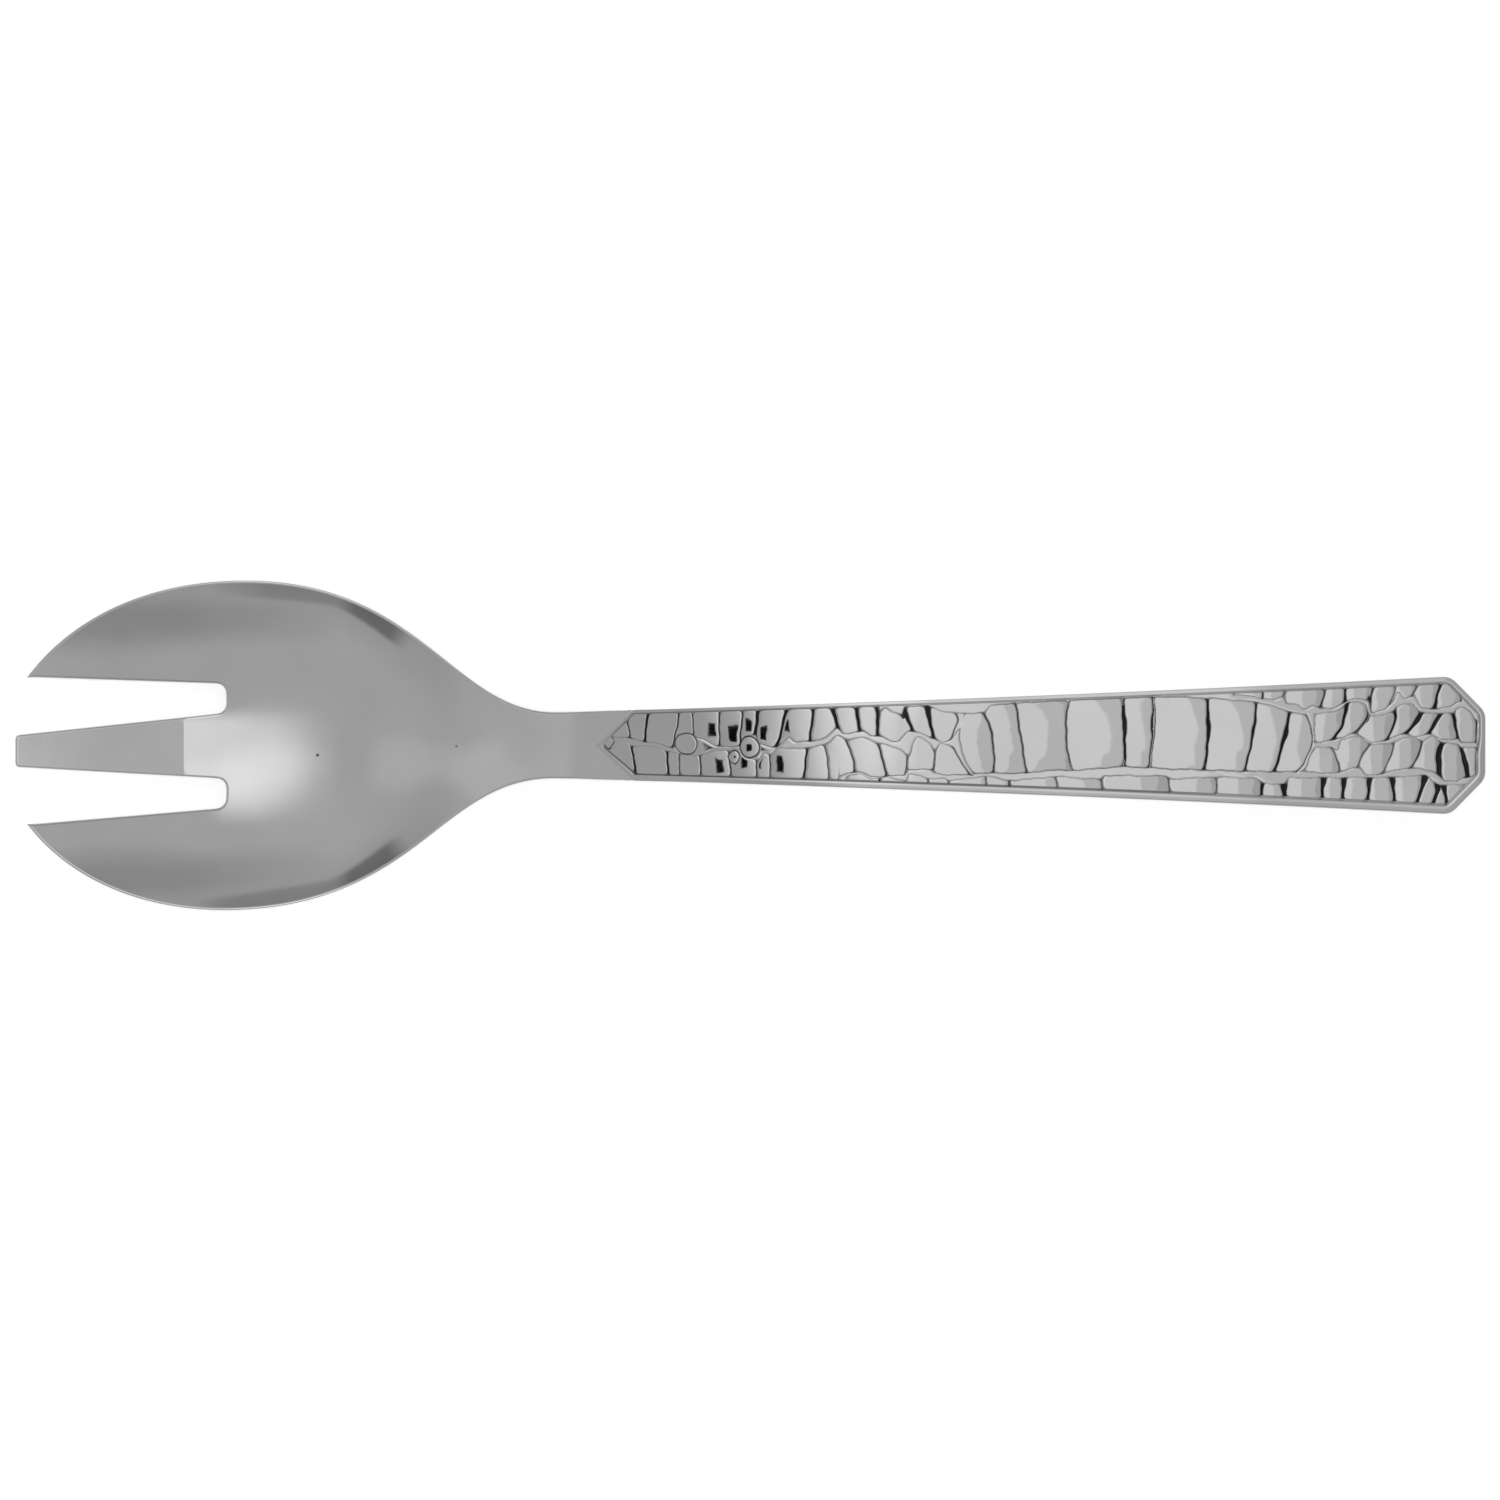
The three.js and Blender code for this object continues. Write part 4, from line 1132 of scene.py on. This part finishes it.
PHOTO_WIDTH = 1500
MM_PER_PIXEL = 0.1725
FRAME_WIDTH = PHOTO_WIDTH * MM_PER_PIXEL * MM
CAMERA_DISTANCE = 1.2
CAMERA_TARGET = Vector((-0.0005, -0.0008, 0.012))
SENSOR_WIDTH = 36
CLIP_RANGE = (0.05, 100)
LENS_HALF_SIZE = Vector((0.018, 0.016, 0))
LENS_SHIFT = Vector((-0.005, 0, 0.02))

# The softbox over the server: a hot spot, a bright strip with a dimmer border, and a dull end

PANEL_HEIGHT = 1.6
PANEL_LOW = Vector((-0.25, -1.3, PANEL_HEIGHT))
PANEL_HIGH = Vector((1.3, 1.8, PANEL_HEIGHT))
ROOM_LEVEL = 0.53
HOT_SPOT = (0.25, 0.46, PANEL_HEIGHT)
HOT_SQUEEZE = (1 / 0.32, 1 / 1.05, 1)
HOT_LEVEL = 1.28
HOT_FADE = (0.15, 1.15)
STRIP_FADE = (0.05, 0.2)
STRIP_NEAR = (-0.65, -0.35)
STRIP_FAR = (0.6, 1.1)
STRIP_LEVEL = 1.0
DIM_FROM, DIM_LEVEL = 0.74, 0.78
END_FROM, END_LEVEL = 0.92, 0.6
END_NEAR = (-1.3, -0.7)
CRISP = 0.01

# The room by direction: lighter higher up, dark low down behind the bowl, a dim band, and a wall's soft glow

ROOM_RISE = (0.05, 0.5)
ROOM_LOW_LEVEL = 0.4
DARK_TOP = (0.28, 0.3)
DARK_START = (-0.68, -0.6)
DARK_END = (0.05, 0.15)
DARK_RUN = (-0.35, -0.2)
DARK_LEVELS = (0.45, 0.7)
DIM_RISE = (0.26, 0.4)
DIM_FALL = (0.46, 0.62)
DIM_START = (-0.2, 0.3)
DIM_SHARE = 0.74
WALL_WAY = (-0.75, 0.2, 0.63)
WALL_REACH = (0.955, 0.99)
WALL_SHARE = 1.16


def stage_sheet(name, first, opposite, material):
    """A level rectangle between two corners, which isn't part of the object."""
    corners = [first, (first.x, opposite.y, first.z), opposite, (opposite.x, first.y, first.z)]
    item = mesh_object(name, corners, [range(4)], material)


def matte(name, level):
    """A matte grey, for the stage."""
    material, tree, shader = new_material(name)
    shader.inputs["Base Color"].default_value = (level, level, level, 1)
    shader.inputs["Roughness"].default_value = STAGE_ROUGHNESS
    shader.inputs["Specular IOR Level"].default_value = 0
    return material, tree, shader


def floor_material():
    """A pale floor that shows near white to the camera and in reflections, and keeps its shadow."""
    material, tree, shader = matte("floor_pale", FLOOR_LEVEL)
    path = add(tree, "LightPath").outputs
    seen = plus(tree, path["Is Camera Ray"], path["Is Glossy Ray"])
    seen = add(tree, "Math", {0: seen, 1: path["Is Transmission Ray"]}, use_clamp=True).outputs[0]
    shader.inputs["Emission Color"].default_value = (1, 1, 1, 1)
    tree.links.new(times(tree, seen, FLOOR_GLOW), shader.inputs["Emission Strength"])
    return material


def softbox_material():
    """The softbox's diffuser."""
    material, tree, _ = new_material("softbox_diffuser")
    tree.nodes.clear()
    place = add(tree, "TexCoord").outputs["Object"]
    spot = add(tree, "VectorMath", {0: place, 1: HOT_SPOT}, operation="SUBTRACT").outputs[0]
    squeezed = add(tree, "VectorMath", {0: spot, 1: HOT_SQUEEZE}, operation="MULTIPLY").outputs[0]
    away = add(tree, "VectorMath", {0: squeezed}, operation="LENGTH").outputs["Value"]
    hot = ramp(tree, away, *HOT_FADE, HOT_LEVEL, ROOM_LEVEL, "SMOOTHSTEP")

    split = add(tree, "SeparateXYZ", {0: place})
    along, aside = split.outputs["X"], split.outputs["Y"]
    far = ramp(tree, aside, *STRIP_FAR, 1, 0, "SMOOTHSTEP")
    near = ramp(tree, aside, *STRIP_NEAR, 0, 1, "SMOOTHSTEP")
    inner = ramp(tree, along, *STRIP_FADE, 0, 1, "SMOOTHSTEP")
    border = ramp(tree, along, DIM_FROM, DIM_FROM + CRISP, STRIP_LEVEL - ROOM_LEVEL, DIM_LEVEL - ROOM_LEVEL)
    before_end = ramp(tree, along, END_FROM, END_FROM + CRISP, 1, 0)
    strip = times(tree, border, inner, near, far, before_end)

    dull = ramp(tree, along, END_FROM, END_FROM + CRISP, 0, END_LEVEL - ROOM_LEVEL)
    end = times(tree, dull, ramp(tree, aside, *END_NEAR, 0, 1, "SMOOTHSTEP"), far)
    glow = plus(tree, plus(tree, strip, end), ROOM_LEVEL)
    level = add(tree, "Math", {0: hot, 1: glow}, operation="MAXIMUM").outputs[0]
    emission = add(tree, "Emission", {"Strength": level})
    out = add(tree, "OutputMaterial")
    tree.links.new(emission.outputs[0], out.inputs["Surface"])
    return material


def make_world():
    """A grey room that the steel reflects."""
    world = bpy.data.worlds.new("studio")
    bpy.context.scene.world = world
    world.use_nodes = True
    tree = world.node_tree
    direction = add(tree, "TexCoord").outputs["Generated"]
    split = add(tree, "SeparateXYZ", {0: direction})
    along, up = split.outputs["X"], split.outputs["Z"]
    level = ramp(tree, up, *ROOM_RISE, ROOM_LOW_LEVEL, ROOM_LEVEL)

    low = ramp(tree, up, *DARK_TOP, 1, 0)
    dark = times(tree, low, ramp(tree, along, *DARK_START, 0, 1), ramp(tree, along, *DARK_END, 1, 0))
    depth = ramp(tree, along, *DARK_RUN, *DARK_LEVELS)
    level = times(tree, level, add(tree, "Mix", {0: dark, 2: 1, 3: depth}).outputs[0])

    rise = ramp(tree, up, *DIM_RISE, 0, 1, "SMOOTHSTEP")
    fall = ramp(tree, up, *DIM_FALL, 1, 0, "SMOOTHSTEP")
    dim = times(tree, rise, fall, ramp(tree, along, *DIM_START, 0, 1, "SMOOTHSTEP"))
    level = times(tree, level, ramp(tree, dim, 0, 1, 1, DIM_SHARE))

    wall = add(tree, "VectorMath", {0: direction, 1: WALL_WAY}, operation="DOT_PRODUCT")
    glow = ramp(tree, wall.outputs["Value"], *WALL_REACH, 1, WALL_SHARE, "SMOOTHSTEP")
    tree.links.new(times(tree, level, glow), tree.nodes["Background"].inputs["Strength"])
    tree.nodes["Background"].inputs["Color"].default_value = (1, 1, 1, 1)


def make_camera():
    """The photograph's view, straight from above."""
    data = bpy.data.cameras.new("camera")
    data.sensor_width = SENSOR_WIDTH
    data.lens = SENSOR_WIDTH * CAMERA_DISTANCE / FRAME_WIDTH
    data.clip_start, data.clip_end = CLIP_RANGE
    camera = bpy.data.objects.new("camera", data)
    bpy.context.scene.collection.objects.link(camera)
    camera.location = CAMERA_TARGET + Vector((0, 0, CAMERA_DISTANCE))
    bpy.context.scene.camera = camera
    return camera.location


def make_studio():
    """Camera, room, floor, softbox and the camera's black front."""
    lens = make_camera() + LENS_SHIFT
    make_world()
    stage_sheet("floor", FLOOR_CORNER, -FLOOR_CORNER, floor_material())
    stage_sheet("softbox", PANEL_LOW, PANEL_HIGH, softbox_material())
    black, _, _ = matte("camera_black", BLACK_LEVEL)
    stage_sheet("camera_front", lens - LENS_HALF_SIZE, lens + LENS_HALF_SIZE, black)


bowl_steel = steel("bowl_steel_polished", roughness=0.06, streaks=0.15, wear=0.14)
# The struck front carries the painted groove shade
front_steel = steel("front_steel_struck", roughness=0.02, streaks=0.03, shades=STRUCK_SHADES, groove_shade=True)
back_steel = steel("back_steel_polished", roughness=0.12, streaks=0.12)
tined_bowl(bowl_steel)
tang(bowl_steel)
front_shell(front_steel)
back_shell(back_steel)
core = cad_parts["handle_core"]
core.data.materials.clear()
core.data.materials.append(resin("core_resin_cast"))
make_studio()
bpy.context.scene.view_settings.view_transform = "Standard"
